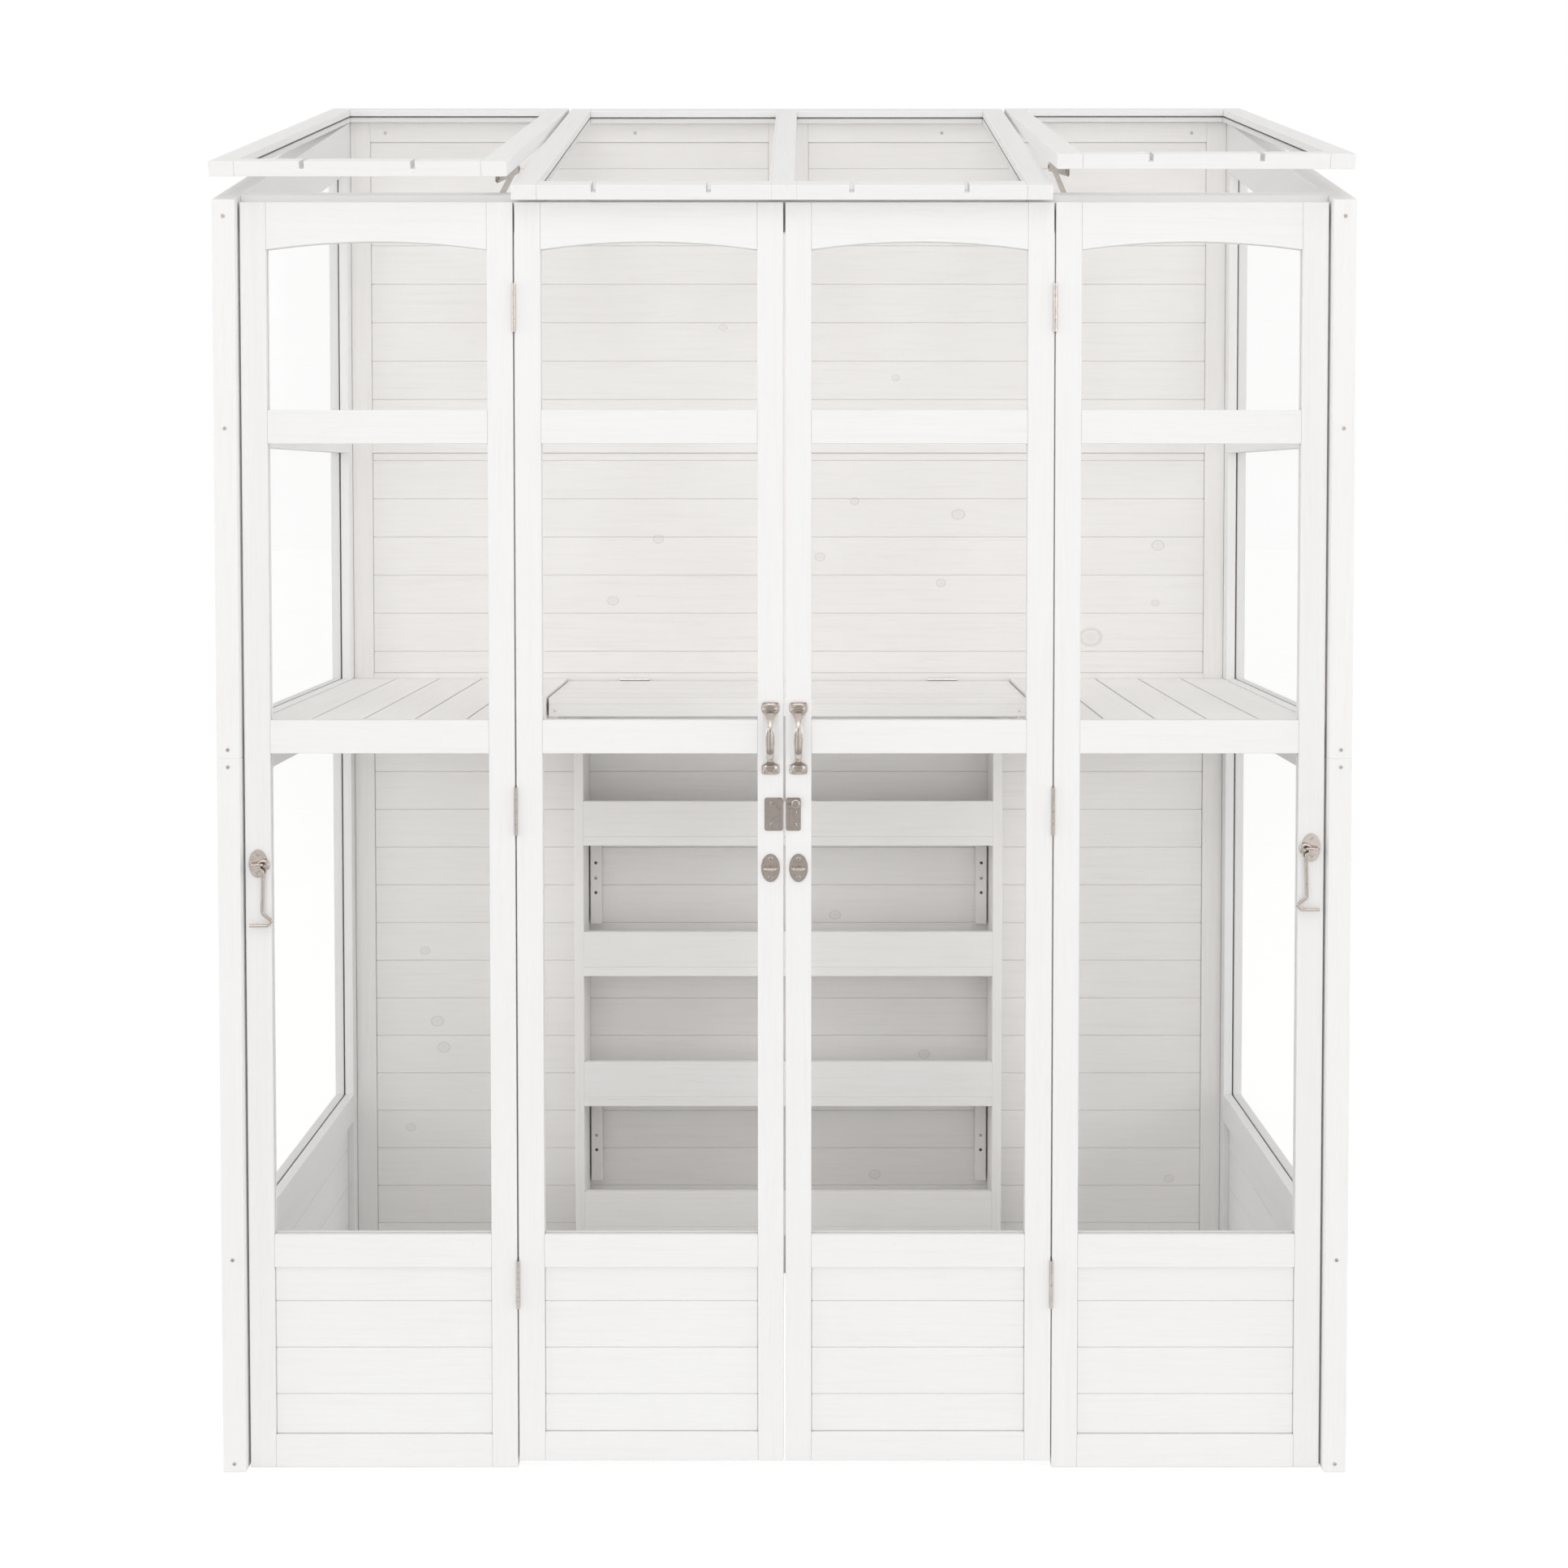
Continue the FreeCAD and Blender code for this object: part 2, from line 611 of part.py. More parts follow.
def door_hinges():
    """Leaves of the right door's hinges: on the fixed panel and on the door."""
    fixed, moving = [], []
    for middle_z in DOOR_HINGE_Z:
        low = middle_z - HINGE_LENGTH / 2
        start = Vector(DOOR_AXIS_X, DOOR_AXIS_Y, low)
        panel_plate = box(
            PANEL_INNER - LEAF_T, PANEL_INNER, DOOR_AXIS_Y, LEAF_W, low, low + HINGE_LENGTH)
        door_plate = box(
            DOOR_OUTER, DOOR_OUTER + LEAF_T, DOOR_AXIS_Y, LEAF_W, low, low + HINGE_LENGTH)
        pair = hinge_pair(start, Z_AXIS, HINGE_LENGTH, panel_plate, door_plate)
        fixed.append(pair[0])
        moving.append(pair[1])
    return fixed, moving


def flap_hinges(low_x, high_x):
    """Leaves on the back wall and, drawn closed, on the rear edge of a flap between two values of x."""
    fixed, moving = [], []
    for start_x in (low_x + FLAP_HINGE_INSET, high_x - FLAP_HINGE_INSET - FLAP_HINGE_LENGTH):
        end_x = start_x + FLAP_HINGE_LENGTH
        start = Vector(start_x, FLAP_AXIS_Y, FLAP_AXIS_Z)
        wall_plate = box(
            start_x, end_x, BACK_OUTER_Y, BACK_OUTER_Y + LEAF_T + KNUCKLE_OFF,
            FLAP_AXIS_Z - LEAF_W, FLAP_AXIS_Z)
        flap_plate = box(
            start_x, end_x, ROOF_LENGTH, ROOF_LENGTH + LEAF_T + KNUCKLE_OFF,
            FLAP_SEAT + KNUCKLE_OFF, FLAP_SEAT + ROOF_T - EDGE)
        flap_plate = on_roof([flap_plate])[0]
        root_plate = box(
            start_x, end_x, BACK_OUTER_Y + KNUCKLE_OFF, FLAP_AXIS_Y,
            FLAP_AXIS_Z, FLAP_AXIS_Z + KNUCKLE_R)
        pair = hinge_pair(start, X_AXIS, FLAP_HINGE_LENGTH, wall_plate, flap_plate.fuse(root_plate))
        fixed.append(pair[0])
        moving.append(pair[1])
    return fixed, moving


def fold_hinges():
    """Leaves on the back wall and on the folding shelf's rear edge."""
    fixed, moving = [], []
    for side in (-1, 1):
        start_x = side * FOLD_HINGE_SPREAD / 2 - FOLD_HINGE_LENGTH / 2
        end_x = start_x + FOLD_HINGE_LENGTH
        start = Vector(start_x, FOLD_AXIS_Y, FOLD_AXIS_Z)
        low = FOLD_AXIS_Z - LEAF_W - HINGE_AXIS_OUT
        wall_plate = box(start_x, end_x, BACK_INNER_Y - LEAF_T, BACK_INNER_Y, low, FOLD_AXIS_Z)
        shelf_plate = box(start_x, end_x, FOLD_REAR_Y, FOLD_REAR_Y + LEAF_T, low, FOLD_AXIS_Z)
        pair = hinge_pair(start, X_AXIS, FOLD_HINGE_LENGTH, wall_plate, shelf_plate)
        fixed.append(pair[0])
        moving.append(pair[1])
    return fixed, moving


# Shelves

def side_shelf():
    """Right side shelf: boards running front to back."""
    boards = []
    for number in range(SHELF_BOARDS):
        outer = SIDE_INNER - FIT - number * (SHELF_BOARD + SHELF_BOARD_GAP)
        boards.append(plank(
            outer - SHELF_BOARD, outer, SHELF_FRONT_Y, BACK_INNER_Y - FIT, SHELF_BOTTOM, SHELF_TOP))
    return boards


def shelf_bearers():
    """Battens under the right side shelf and the cleat that the folding shelf rests on."""
    rear = BACK_INNER_Y - FIT
    front_inner = SHELF_FRONT_Y + BEARER_T
    rear_inner = rear - BEARER_T
    low = SHELF_BOTTOM - BEARER_H
    outer = SIDE_INNER - FIT
    inner_low = SHELF_BOTTOM - INNER_BEARER_H
    fold_rail_z = FOLD_TOP - SLAT_T - FOLD_RAIL_H
    return [
        plank(SHELF_INNER, outer, SHELF_FRONT_Y, front_inner, low, SHELF_BOTTOM),
        plank(SHELF_INNER, outer, rear_inner, rear, low, SHELF_BOTTOM),
        plank(outer - BEARER_T, outer, front_inner, rear_inner, low, SHELF_BOTTOM),
        plank(SHELF_INNER, SHELF_INNER + BEARER_T, front_inner, rear_inner, inner_low, SHELF_BOTTOM),
        plank(
            SHELF_INNER - CLEAT_T, SHELF_INNER, FOLD_REAR_Y - FOLD_DEPTH + BEARER_T, rear_inner,
            fold_rail_z - FIT - CLEAT_H, fold_rail_z - FIT),
    ]


def folding_shelf():
    """Slats and the frame under them."""
    y0, y1 = FOLD_REAR_Y - FOLD_DEPTH, FOLD_REAR_Y
    low = FOLD_TOP - SLAT_T - FOLD_RAIL_H
    under = FOLD_TOP - SLAT_T
    slat = (FOLD_DEPTH - (SLATS - 1) * SLAT_GAP) / SLATS
    slats = []
    for number in range(SLATS):
        start = y0 + number * (slat + SLAT_GAP)
        slats.append(plank(-FOLD_HALF, FOLD_HALF, start, start + slat, under, FOLD_TOP))
    inner = FOLD_HALF - FOLD_RAIL_T
    frame = [
        plank(-FOLD_HALF, FOLD_HALF, y0, y0 + FOLD_RAIL_T, low, under),
        plank(-FOLD_HALF, FOLD_HALF, y1 - FOLD_RAIL_T, y1, low, under),
        plank(-FOLD_HALF, -inner, y0 + FOLD_RAIL_T, y1 - FOLD_RAIL_T, low, under),
        plank(inner, FOLD_HALF, y0 + FOLD_RAIL_T, y1 - FOLD_RAIL_T, low, under),
    ]
    front_z = (low + under) / 2
    screws = [
        screw(Vector(side * (FOLD_HALF - FOLD_RAIL_T / 2), y0, front_z), -Y_AXIS, SMALL_SCREW_R)
        for side in (-1, 1)
    ]
    return slats, frame, screws


# Pot rack

def rack_z(level):
    """Top of a rack shelf."""
    return RACK_FIRST_Z + level * RACK_PITCH


def rack():
    """Side boards, shelves and lips."""
    half = RACK_W / 2
    inner = half - RACK_BOARD
    front, rear = BACK_INNER_Y - RACK_DEPTH, BACK_INNER_Y
    sides = [
        plank(-half, -inner, front, rear, 0, RACK_H),
        plank(inner, half, front, rear, 0, RACK_H),
    ]
    shelves, lips = [], []
    for level in range(RACK_LEVELS):
        top = rack_z(level)
        shelves.append(plank(-inner, inner, front, rear, top - RACK_BOARD, top))
        lips.append(plank(-inner, inner, front, front + LIP_T, top, top + LIP_H))
    return sides, shelves, lips


def rack_battens():
    """Screw battens that tie the rack to the back wall."""
    inner = RACK_W / 2 - RACK_BOARD - BATTEN_INSET
    battens = []
    for low in BATTEN_Z:
        for side in (-1, 1):
            battens.append(plank(
                side * (inner - BATTEN_W), side * inner,
                BACK_INNER_Y - BATTEN_T, BACK_INNER_Y + BACK_RECESS, low, low + BATTEN_H))
    return battens


# Small metalwork on the doors and panels

def eye_plate(x, z):
    """Oval plate on the front face with its staple and two screws."""
    ellipse = Part.Ellipse(Vector(x, 0, z), EYE_H / 2, EYE_W / 2)
    ellipse.Axis = -Y_AXIS
    ellipse.XAxis = Z_AXIS
    ellipse.Center = Vector(x, 0, z)
    plate = Part.Face(Part.Wire(ellipse.toShape())).extrude(Vector(0, -EYE_T, 0))
    centre = Vector(x, -EYE_T - STAPLE_OUT, z)
    staple = Part.makeTorus(STAPLE_R, STAPLE_WIRE, centre, Z_AXIS)
    reach = STAPLE_R * 2
    staple = staple.cut(box(x - reach, x + reach, -EYE_T, reach, z - reach, z + reach))
    screws = [
        screw(Vector(x, -EYE_T, z + side * (EYE_H / 2 - EYE_SCREW_EDGE)), -Y_AXIS, SMALL_SCREW_R)
        for side in (-1, 1)
    ]
    return [plate, staple] + screws


def hook_pivot(side):
    """Middle of the staple's outer leg, where a cabin hook hangs; side is -1 or 1."""
    z = HOOK_PLATE_Z[0] if side < 0 else HOOK_PLATE_Z[1]
    drop = HOOK_PLANE - EYE_T - STAPLE_OUT
    across = math.sqrt(STAPLE_R ** 2 - drop ** 2)
    return Vector(side * (PANEL_STILE_X - across), -HOOK_PLANE, z)


def cabin_hook(side):
    """Wire hook hanging on its staple, drawn for one side."""
    pivot = hook_pivot(side)
    ring_drop = HOOK_RING_R - HOOK_WIRE - STAPLE_WIRE - FIT
    ring_centre = pivot - Z_AXIS * ring_drop
    ring = Part.makeTorus(HOOK_RING_R, HOOK_WIRE, ring_centre, Y_AXIS)
    outward = X_AXIS * side
    neck = ring_centre - Z_AXIS * HOOK_RING_R
    knee = neck - Z_AXIS * HOOK_SHAFT + outward * HOOK_LEAN
    kink = knee - outward * HOOK_KINK - Z_AXIS * HOOK_KINK_DROP
    bend = kink - Z_AXIS * HOOK_BEND + outward * HOOK_BEND_OUT
    tip = bend + outward * HOOK_TIP
    hook = ring
    points = [neck, knee, kink, bend, tip]
    for start, end in zip(points, points[1:]):
        hook = hook.fuse(rod(start, end, HOOK_WIRE))
    for corner in points[1:-1]:
        hook = hook.fuse(Part.makeSphere(HOOK_WIRE, corner))
    return hook


def pull_handle(x):
    """Bow handle: two feet, a waisted grip that bows forward, and four screws."""
    pieces = []
    half = HANDLE_H / 2
    feet = []
    for side in (-1, 1):
        z0 = HANDLE_Z + side * half
        z1 = HANDLE_Z + side * (half - FOOT_H)
        foot = box(x - FOOT_W / 2, x + FOOT_W / 2, -FOOT_T, 0, z0, z1)
        upright = [edge for edge in foot.Edges if abs(edge.Length - FOOT_T) < 0.01]
        feet.append(foot.makeFillet(FOOT_CORNER, upright))
        for screw_side in (-1, 1):
            z = (z0 + z1) / 2 + side * FOOT_SCREW_OUT
            place = Vector(x + screw_side * FOOT_SCREW_X, -FOOT_T, z)
            pieces.append(screw(place, -Y_AXIS, SMALL_SCREW_R))
    span = half - FOOT_H / 2
    reach = HANDLE_STANDOFF - GRIP_T / 2 - FOOT_T / 2
    sections = []
    for share, width in GRIP_PROFILE:
        t = 1 - 2 * share
        y = -FOOT_T / 2 - reach * (1 - t ** 4)
        thickness = GRIP_T + (GRIP_ROOT_T - GRIP_T) * t ** 8
        lean = math.atan2(4 * reach * t ** 3, span)
        section = Part.Ellipse(ORIGIN, width / 2, thickness / 2).toShape()
        section.rotate(ORIGIN, X_AXIS, -math.degrees(lean))
        section.translate(Vector(x, y, HANDLE_Z + span * t))
        sections.append(Part.Wire(section))
    grip = Part.makeLoft(sections, True, False)
    handle = feet[0].fuse([feet[1], grip])
    return [handle] + pieces


def latch_plate(x0, x1):
    """Rounded base plate of one half of the latch."""
    z0 = LATCH_Z + LATCH_TOP - LATCH_H
    plate = box(x0, x1, -LATCH_PLATE_T, 0, z0, z0 + LATCH_H)
    upright = [edge for edge in plate.Edges if abs(edge.Length - LATCH_PLATE_T) < 0.01]
    return plate.makeFillet(LATCH_CORNER, upright)


def latch_strap(x0, x1):
    """Bridge that the bolt slides through."""
    half = BOLT_H / 2 + STRAP_RUN
    outer = half + STRAP_T
    solid = box(x0, x1, STRAP_FRONT, -LATCH_PLATE_T, LATCH_Z - outer, LATCH_Z + outer)
    tunnel_front = STRAP_FRONT + STRAP_T
    return solid.cut(box(x0, x1, tunnel_front, -LATCH_PLATE_T, LATCH_Z - half, LATCH_Z + half))


def latch_half(edge_x, width, strap_width, side, screw_heights):
    """Plate, strap, rib and screws; side is -1 for the keeper and 1 for the bolt's plate."""
    near = edge_x + side * LATCH_EDGE_GAP
    far = near + side * width
    plate = latch_plate(min(near, far), max(near, far))
    strap_far = near + side * strap_width
    strap = latch_strap(min(near, strap_far), max(near, strap_far))
    rib_top = LATCH_Z - BOLT_H / 2 - STRAP_RUN - STRAP_T
    rib_bottom = LATCH_Z + LATCH_TOP - LATCH_H + LATCH_CORNER
    rib = box(near, near + side * RIDGE_W, -LATCH_PLATE_T - RIDGE_T, -LATCH_PLATE_T, rib_bottom, rib_top)
    screw_x = (near + side * RIDGE_W + far) / 2
    screws = [
        screw(Vector(screw_x, -LATCH_PLATE_T, LATCH_Z + height), -Y_AXIS, SMALL_SCREW_R)
        for height in screw_heights
    ]
    return [plate.fuse([strap, rib])] + screws


def bolt_plate():
    """Right half of the latch: its strap is slotted for the knob's stem."""
    pieces = latch_half(DOOR_INNER, LATCH_W, LATCH_W, 1, LATCH_SCREWS)
    clear = KNOB_STEM_R + STRAP_RUN
    slot = box(
        KNOB_X - BOLT_TRAVEL - clear, KNOB_X + clear,
        STRAP_FRONT, STRAP_FRONT + STRAP_T, LATCH_Z - clear, LATCH_Z + clear)
    pieces[0] = pieces[0].cut(slot)
    return pieces


def latch_bolt():
    """Flat bolt with a round knob on a stem, drawn back from the keeper."""
    start = DOOR_INNER + LATCH_EDGE_GAP
    rear = -LATCH_PLATE_T - STRAP_RUN
    front = rear - BOLT_T
    half = BOLT_H / 2
    bar = box(start, start + BOLT_LENGTH, front, rear, LATCH_Z - half, LATCH_Z + half)
    knob_rear = STRAP_FRONT - STRAP_RUN
    stem = rod(Vector(KNOB_X, front, LATCH_Z), Vector(KNOB_X, knob_rear, LATCH_Z), KNOB_STEM_R)
    knob = Part.makeCylinder(KNOB_R, KNOB_H, Vector(KNOB_X, knob_rear, LATCH_Z), -Y_AXIS)
    rim = [edge for edge in knob.Edges if abs(edge.CenterOfMass.y - (knob_rear - KNOB_H)) < 0.01]
    knob = knob.makeFillet(KNOB_H * KNOB_DOME, rim)
    return bar.fuse([stem, knob])


# Folding stays

def meeting_point(first, first_length, second, second_length):
    """Where two arms from two pivots meet, on the side towards the back."""
    dy, dz = second[0] - first[0], second[1] - first[1]
    span = math.hypot(dy, dz)
    along = (first_length ** 2 - second_length ** 2 + span ** 2) / (2 * span)
    off = math.sqrt(first_length ** 2 - along ** 2)
    base = (first[0] + dy * along / span, first[1] + dz * along / span)
    choices = [
        (base[0] + off * dz / span, base[1] - off * dy / span),
        (base[0] - off * dz / span, base[1] + off * dy / span),
    ]
    return max(choices)


def flap_pivot(degrees):
    """Upper pivot of a stay, as (y, z), with the flap raised by an angle."""
    y = ROOF_FRONT_Y + STAY_FLAP_V * math.cos(SLOPE) + STAY_PIVOT_DROP * math.sin(SLOPE)
    z = roof_z(ROOF_FRONT_Y) + STAY_FLAP_V * math.sin(SLOPE) - STAY_PIVOT_DROP * math.cos(SLOPE)
    return raised_point(y, z, degrees)


STAY_POST = (STAY_POST_Y, STAY_POST_Z)
UPPER_ARM = math.dist(flap_pivot(0), STAY_ELBOW)
LOWER_ARM = math.dist(STAY_POST, STAY_ELBOW)


def stay_elbow(degrees):
    """Elbow of a stay, as (y, z), with the flap raised by an angle."""
    return meeting_point(flap_pivot(degrees), UPPER_ARM, STAY_POST, LOWER_ARM)


def stay_arm(x, start, end):
    """Flat arm with round ends in the plane of one x, with an eye at each end."""
    radius = STAY_ARM_H / 2
    run = Vector(0, end[0] - start[0], end[1] - start[1])
    bar = Part.makeBox(STAY_ARM_T, run.Length, STAY_ARM_H, Vector(0, 0, -radius))
    for y in (0, run.Length):
        bar = bar.fuse(Part.makeCylinder(radius, STAY_ARM_T, Vector(0, y, 0), X_AXIS))
    bar = bar.removeSplitter()
    bar.rotate(ORIGIN, X_AXIS, math.degrees(math.atan2(run.z, run.y)))
    bar.translate(Vector(x, start[0], start[1]))
    return bar


def rivet(x0, x1, place):
    """Rivet across the arms at a pivot."""
    low = min(x0, x1)
    return Part.makeCylinder(RIVET_R, abs(x1 - x0), Vector(low, place[0], place[1]), X_AXIS)


def stay(side, inner_x, degrees):
    """A stay's two arms and its brackets; side is -1 for the left flap, 1 for the right."""
    upper_x = inner_x + side * STAY_INSET
    lower_x = upper_x + side * STAY_STEP
    pivot, elbow = flap_pivot(degrees), stay_elbow(degrees)
    upper = stay_arm(upper_x - STAY_ARM_T / 2, pivot, elbow)
    lower = stay_arm(lower_x - STAY_ARM_T / 2, STAY_POST, elbow)
    inner_face = upper_x - side * STAY_ARM_T / 2
    upper_rivet = rivet(inner_face, inner_face - side * RIVET_HEAD, pivot)
    elbow_rivet = rivet(inner_face, inner_face - side * RIVET_HEAD, elbow)
    upper = upper.fuse([upper_rivet, elbow_rivet])
    lower_face = lower_x - side * STAY_ARM_T / 2
    lower_elbow = rivet(lower_face, upper_x + side * (STAY_ARM_T / 2 + FIT), elbow)
    lower_rivet = rivet(lower_face, lower_face - side * RIVET_HEAD, STAY_POST)
    lower = lower.fuse([lower_elbow, lower_rivet])
    return upper, lower


def flap_bracket(side, inner_x):
    """Angle bracket under the flap's inner stile, drawn closed."""
    upper_x = inner_x + side * STAY_INSET
    ear_x = upper_x + side * (STAY_ARM_T / 2 + FIT)
    y, z = flap_pivot(0)
    half = STAY_ARM_H / 2
    under = roof_z(y) + FLAP_SEAT / math.cos(SLOPE)
    ear_low = z - half
    ear = box(ear_x, ear_x + side * BRACKET_T, y - half, y + half, ear_low, under + BRACKET_ROOT)
    ledge = box(
        ear_x, ear_x + side * BRACKET_FOOT,
        STAY_FLAP_V - half, STAY_FLAP_V + half, FLAP_SEAT - BRACKET_T, FLAP_SEAT)
    ledge = on_roof([ledge])[0]
    timber = on_roof([box(-WIDTH, WIDTH, 0, ROOF_LENGTH, FLAP_SEAT, FLAP_SEAT + ROOF_T)])[0]
    return ear.cut(timber).fuse(ledge).removeSplitter()


def post_bracket(side, inner_x):
    """Bracket on the back of the top beam that carries the lower arm."""
    lower_x = inner_x + side * (STAY_INSET + STAY_STEP)
    ear_x = lower_x + side * (STAY_ARM_T / 2 + FIT)
    half = STAY_ARM_H / 2
    beam_rear = FRONT_T + FIT + BEAM_T
    low, high = STAY_POST_Z - half, STAY_POST_Z + half
    ear = box(ear_x, ear_x + side * BRACKET_T, beam_rear, STAY_POST_Y + half, low, high)
    foot = box(ear_x, ear_x + side * BRACKET_FOOT, beam_rear, beam_rear + BRACKET_T, low, high)
    return ear.fuse(foot).removeSplitter()


# Visible screws in the timber

def post_screws():
    """Screws up the front faces of the side walls and along the back wall's top rail."""
    post_x = HALF_WIDTH - SIDE_T / 2
    heights = (
        POST_SCREW_EDGE,
        SIDE_LOW_RAIL_Z + SIDE_RAIL / 2,
        SIDE_SPLIT_Z - POST_SCREW_EDGE,
        SIDE_SPLIT_Z + POST_SCREW_EDGE,
        SIDE_HIGH_RAIL_Z + SIDE_RAIL / 2,
        roof_z(WALL_FRONT_Y) - POST_SCREW_TOP,
    )
    screws = []
    for side in (-1, 1):
        for height in heights:
            screws.append(screw(Vector(side * post_x, WALL_FRONT_Y, height), -Y_AXIS, SMALL_SCREW_R))
    for share in BACK_SCREW_SHARES:
        place = Vector(share * SIDE_INNER, BACK_INNER_Y, BACK_TOP_RAIL_Z + BACK_SCREW_RISE)
        screws.append(screw(place, -Y_AXIS, SMALL_SCREW_R))
    batten_x = RACK_W / 2 - RACK_BOARD - BATTEN_INSET - BATTEN_W / 2
    for low in BATTEN_Z:
        for side in (-1, 1):
            place = Vector(side * batten_x, BACK_INNER_Y - BATTEN_T, low + BATTEN_SCREW_RISE)
            screws.append(screw(place, -Y_AXIS, SMALL_SCREW_R))
    return screws


def build():
    """Every node of the greenhouse by name."""
    nodes = {}

    lower_frame, side_boards, low_pane = side_wall_lower()
    upper_frame, high_panes = side_wall_upper()
    nodes["right_wall_lower_frame"] = lower_frame
    nodes["right_wall_upper_frame"] = upper_frame
    nodes["right_wall_boards"] = side_boards
    nodes["right_wall_panes"] = [low_pane] + high_panes
    for name in ("wall_lower_frame", "wall_upper_frame", "wall_boards", "wall_panes"):
        nodes["left_" + name] = mirrored(nodes["right_" + name])

    back_frame, back_boards = back_panel()
    nodes["back_wall_frame"] = back_frame + mirrored(back_frame)
    nodes["back_wall_boards"] = back_boards + mirrored(back_boards)
    nodes["top_beam"] = [top_beam()]

    frame, boards, panes = front_leaf(PANEL_INNER, PANEL_OUTER, 0, BOTTOM_RAIL)
    nodes["right_panel_frame"], nodes["right_panel_boards"], nodes["right_panel_panes"] = frame, boards, panes
    frame, boards, panes = front_leaf(DOOR_INNER, DOOR_OUTER, DOOR_FOOT, DOOR_BOTTOM_RAIL)
    nodes["right_door_frame"], nodes["right_door_boards"], nodes["right_door_panes"] = frame, boards, panes
    for leaf in ("panel", "door"):
        for piece in ("frame", "boards", "panes"):
            nodes[f"left_{leaf}_{piece}"] = mirrored(nodes[f"right_{leaf}_{piece}"])

    mid_left = MID_LIGHT_X - MID_LIGHT_W / 2
    mid_right = MID_LIGHT_X + MID_LIGHT_W / 2
    frame, panes = roof_light(mid_left, mid_right, 0, 1, MIDDLE_DRAINS)
    nodes["middle_light_frame"] = on_roof(frame)
    nodes["middle_light_panes"] = on_roof(panes)

    panel_leaves, door_leaves = door_hinges()
    nodes["fixed_hinge_leaves"] = panel_leaves + mirrored(panel_leaves)
    nodes["right_door_hinge_leaves"] = door_leaves
    nodes["left_door_hinge_leaves"] = mirrored(door_leaves)

    nodes["stay_post_brackets"] = []
    flaps = (
        ("left", -1, mid_left - FLAP_GAP, LEFT_FLAP_OPEN),
        ("right", 1, mid_right + FLAP_GAP, RIGHT_FLAP_OPEN),
    )
    for name, side, inner_x, degrees in flaps:
        low_x, high_x = sorted((inner_x, inner_x + side * FLAP_W))
        frame, panes = roof_light(low_x, high_x, FLAP_SEAT, 0, FLAP_DRAINS)
        wall_leaves, flap_leaves = flap_hinges(low_x, high_x)
        upper, lower = stay(side, inner_x, degrees)
        nodes["fixed_hinge_leaves"] += wall_leaves
        nodes[name + "_flap_frame"] = raised(on_roof(frame), degrees)
        nodes[name + "_flap_pane"] = raised(on_roof(panes), degrees)
        nodes[name + "_flap_fittings"] = raised(flap_leaves + [flap_bracket(side, inner_x)], degrees)
        nodes[name + "_stay_upper_arm"] = [upper]
        nodes[name + "_stay_lower_arm"] = [lower]
        nodes["stay_post_brackets"].append(post_bracket(side, inner_x))

    shelf = side_shelf()
    bearers = shelf_bearers()
    nodes["right_shelf"], nodes["left_shelf"] = shelf, mirrored(shelf)
    slats, fold_frame, fold_screws = folding_shelf()
    wall_leaves, shelf_leaves = fold_hinges()
    nodes["fixed_hinge_leaves"] += wall_leaves
    nodes["folding_shelf_slats"] = slats
    nodes["folding_shelf_frame"] = fold_frame
    nodes["folding_shelf_fittings"] = shelf_leaves + fold_screws

    sides, shelves, lips = rack()
    nodes["rack_sides"], nodes["rack_shelves"], nodes["rack_lips"] = sides, shelves, lips
    nodes["bearers_and_battens"] = bearers + mirrored(bearers) + rack_battens()

    nodes["hook_plates"] = []
    for side, height in zip((-1, 1), HOOK_PLATE_Z):
        nodes["hook_plates"] += eye_plate(side * PANEL_STILE_X, height)
    nodes["left_hook"] = [cabin_hook(-1)]
    nodes["right_hook"] = [cabin_hook(1)]
    nodes["left_door_eye"] = eye_plate(-DOOR_STILE_X, DOOR_EYE_Z)
    nodes["right_door_eye"] = eye_plate(DOOR_STILE_X, DOOR_EYE_Z)
    nodes["left_handle"] = pull_handle(-DOOR_STILE_X)
    nodes["right_handle"] = pull_handle(DOOR_STILE_X)
    nodes["latch_keeper"] = latch_half(-DOOR_INNER, KEEPER_W, KEEPER_STRAP_W, -1, KEEPER_SCREWS)
    nodes["latch_plate"] = bolt_plate()
    nodes["latch_bolt"] = [latch_bolt()]
    nodes["timber_screws"] = post_screws()
    return nodes


def footprint_shift(nodes):
    """Move that brings the origin to the middle of the footprint on the ground."""
    bounds = Part.makeCompound([solid for solids in nodes.values() for solid in solids]).BoundBox
    return Vector(-(bounds.XMin + bounds.XMax) / 2, -(bounds.YMin + bounds.YMax) / 2, -bounds.ZMin)


NODES = build()
SHIFT = footprint_shift(NODES)

os.makedirs("parts", exist_ok=True)
for node_name, solids in NODES.items():
    assembly = Part.makeCompound(solids)
    assembly.translate(SHIFT)
    assembly.exportStep(f"parts/{node_name}.step")
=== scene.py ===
import bmesh
import bpy
import math
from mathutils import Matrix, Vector


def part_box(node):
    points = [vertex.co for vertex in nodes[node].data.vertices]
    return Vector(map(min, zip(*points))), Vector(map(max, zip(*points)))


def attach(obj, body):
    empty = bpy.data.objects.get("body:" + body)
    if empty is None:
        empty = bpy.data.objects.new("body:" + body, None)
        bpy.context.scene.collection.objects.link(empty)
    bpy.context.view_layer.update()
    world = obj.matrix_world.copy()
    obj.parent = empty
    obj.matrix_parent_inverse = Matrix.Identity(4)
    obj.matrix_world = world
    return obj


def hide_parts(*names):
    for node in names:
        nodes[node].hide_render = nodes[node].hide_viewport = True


# Looks of the wooden greenhouse: white-stained softwood, clear glazing and bright nickel fittings.
# Metres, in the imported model's frame: X right, Y back, Z up, origin under the middle of the footprint.

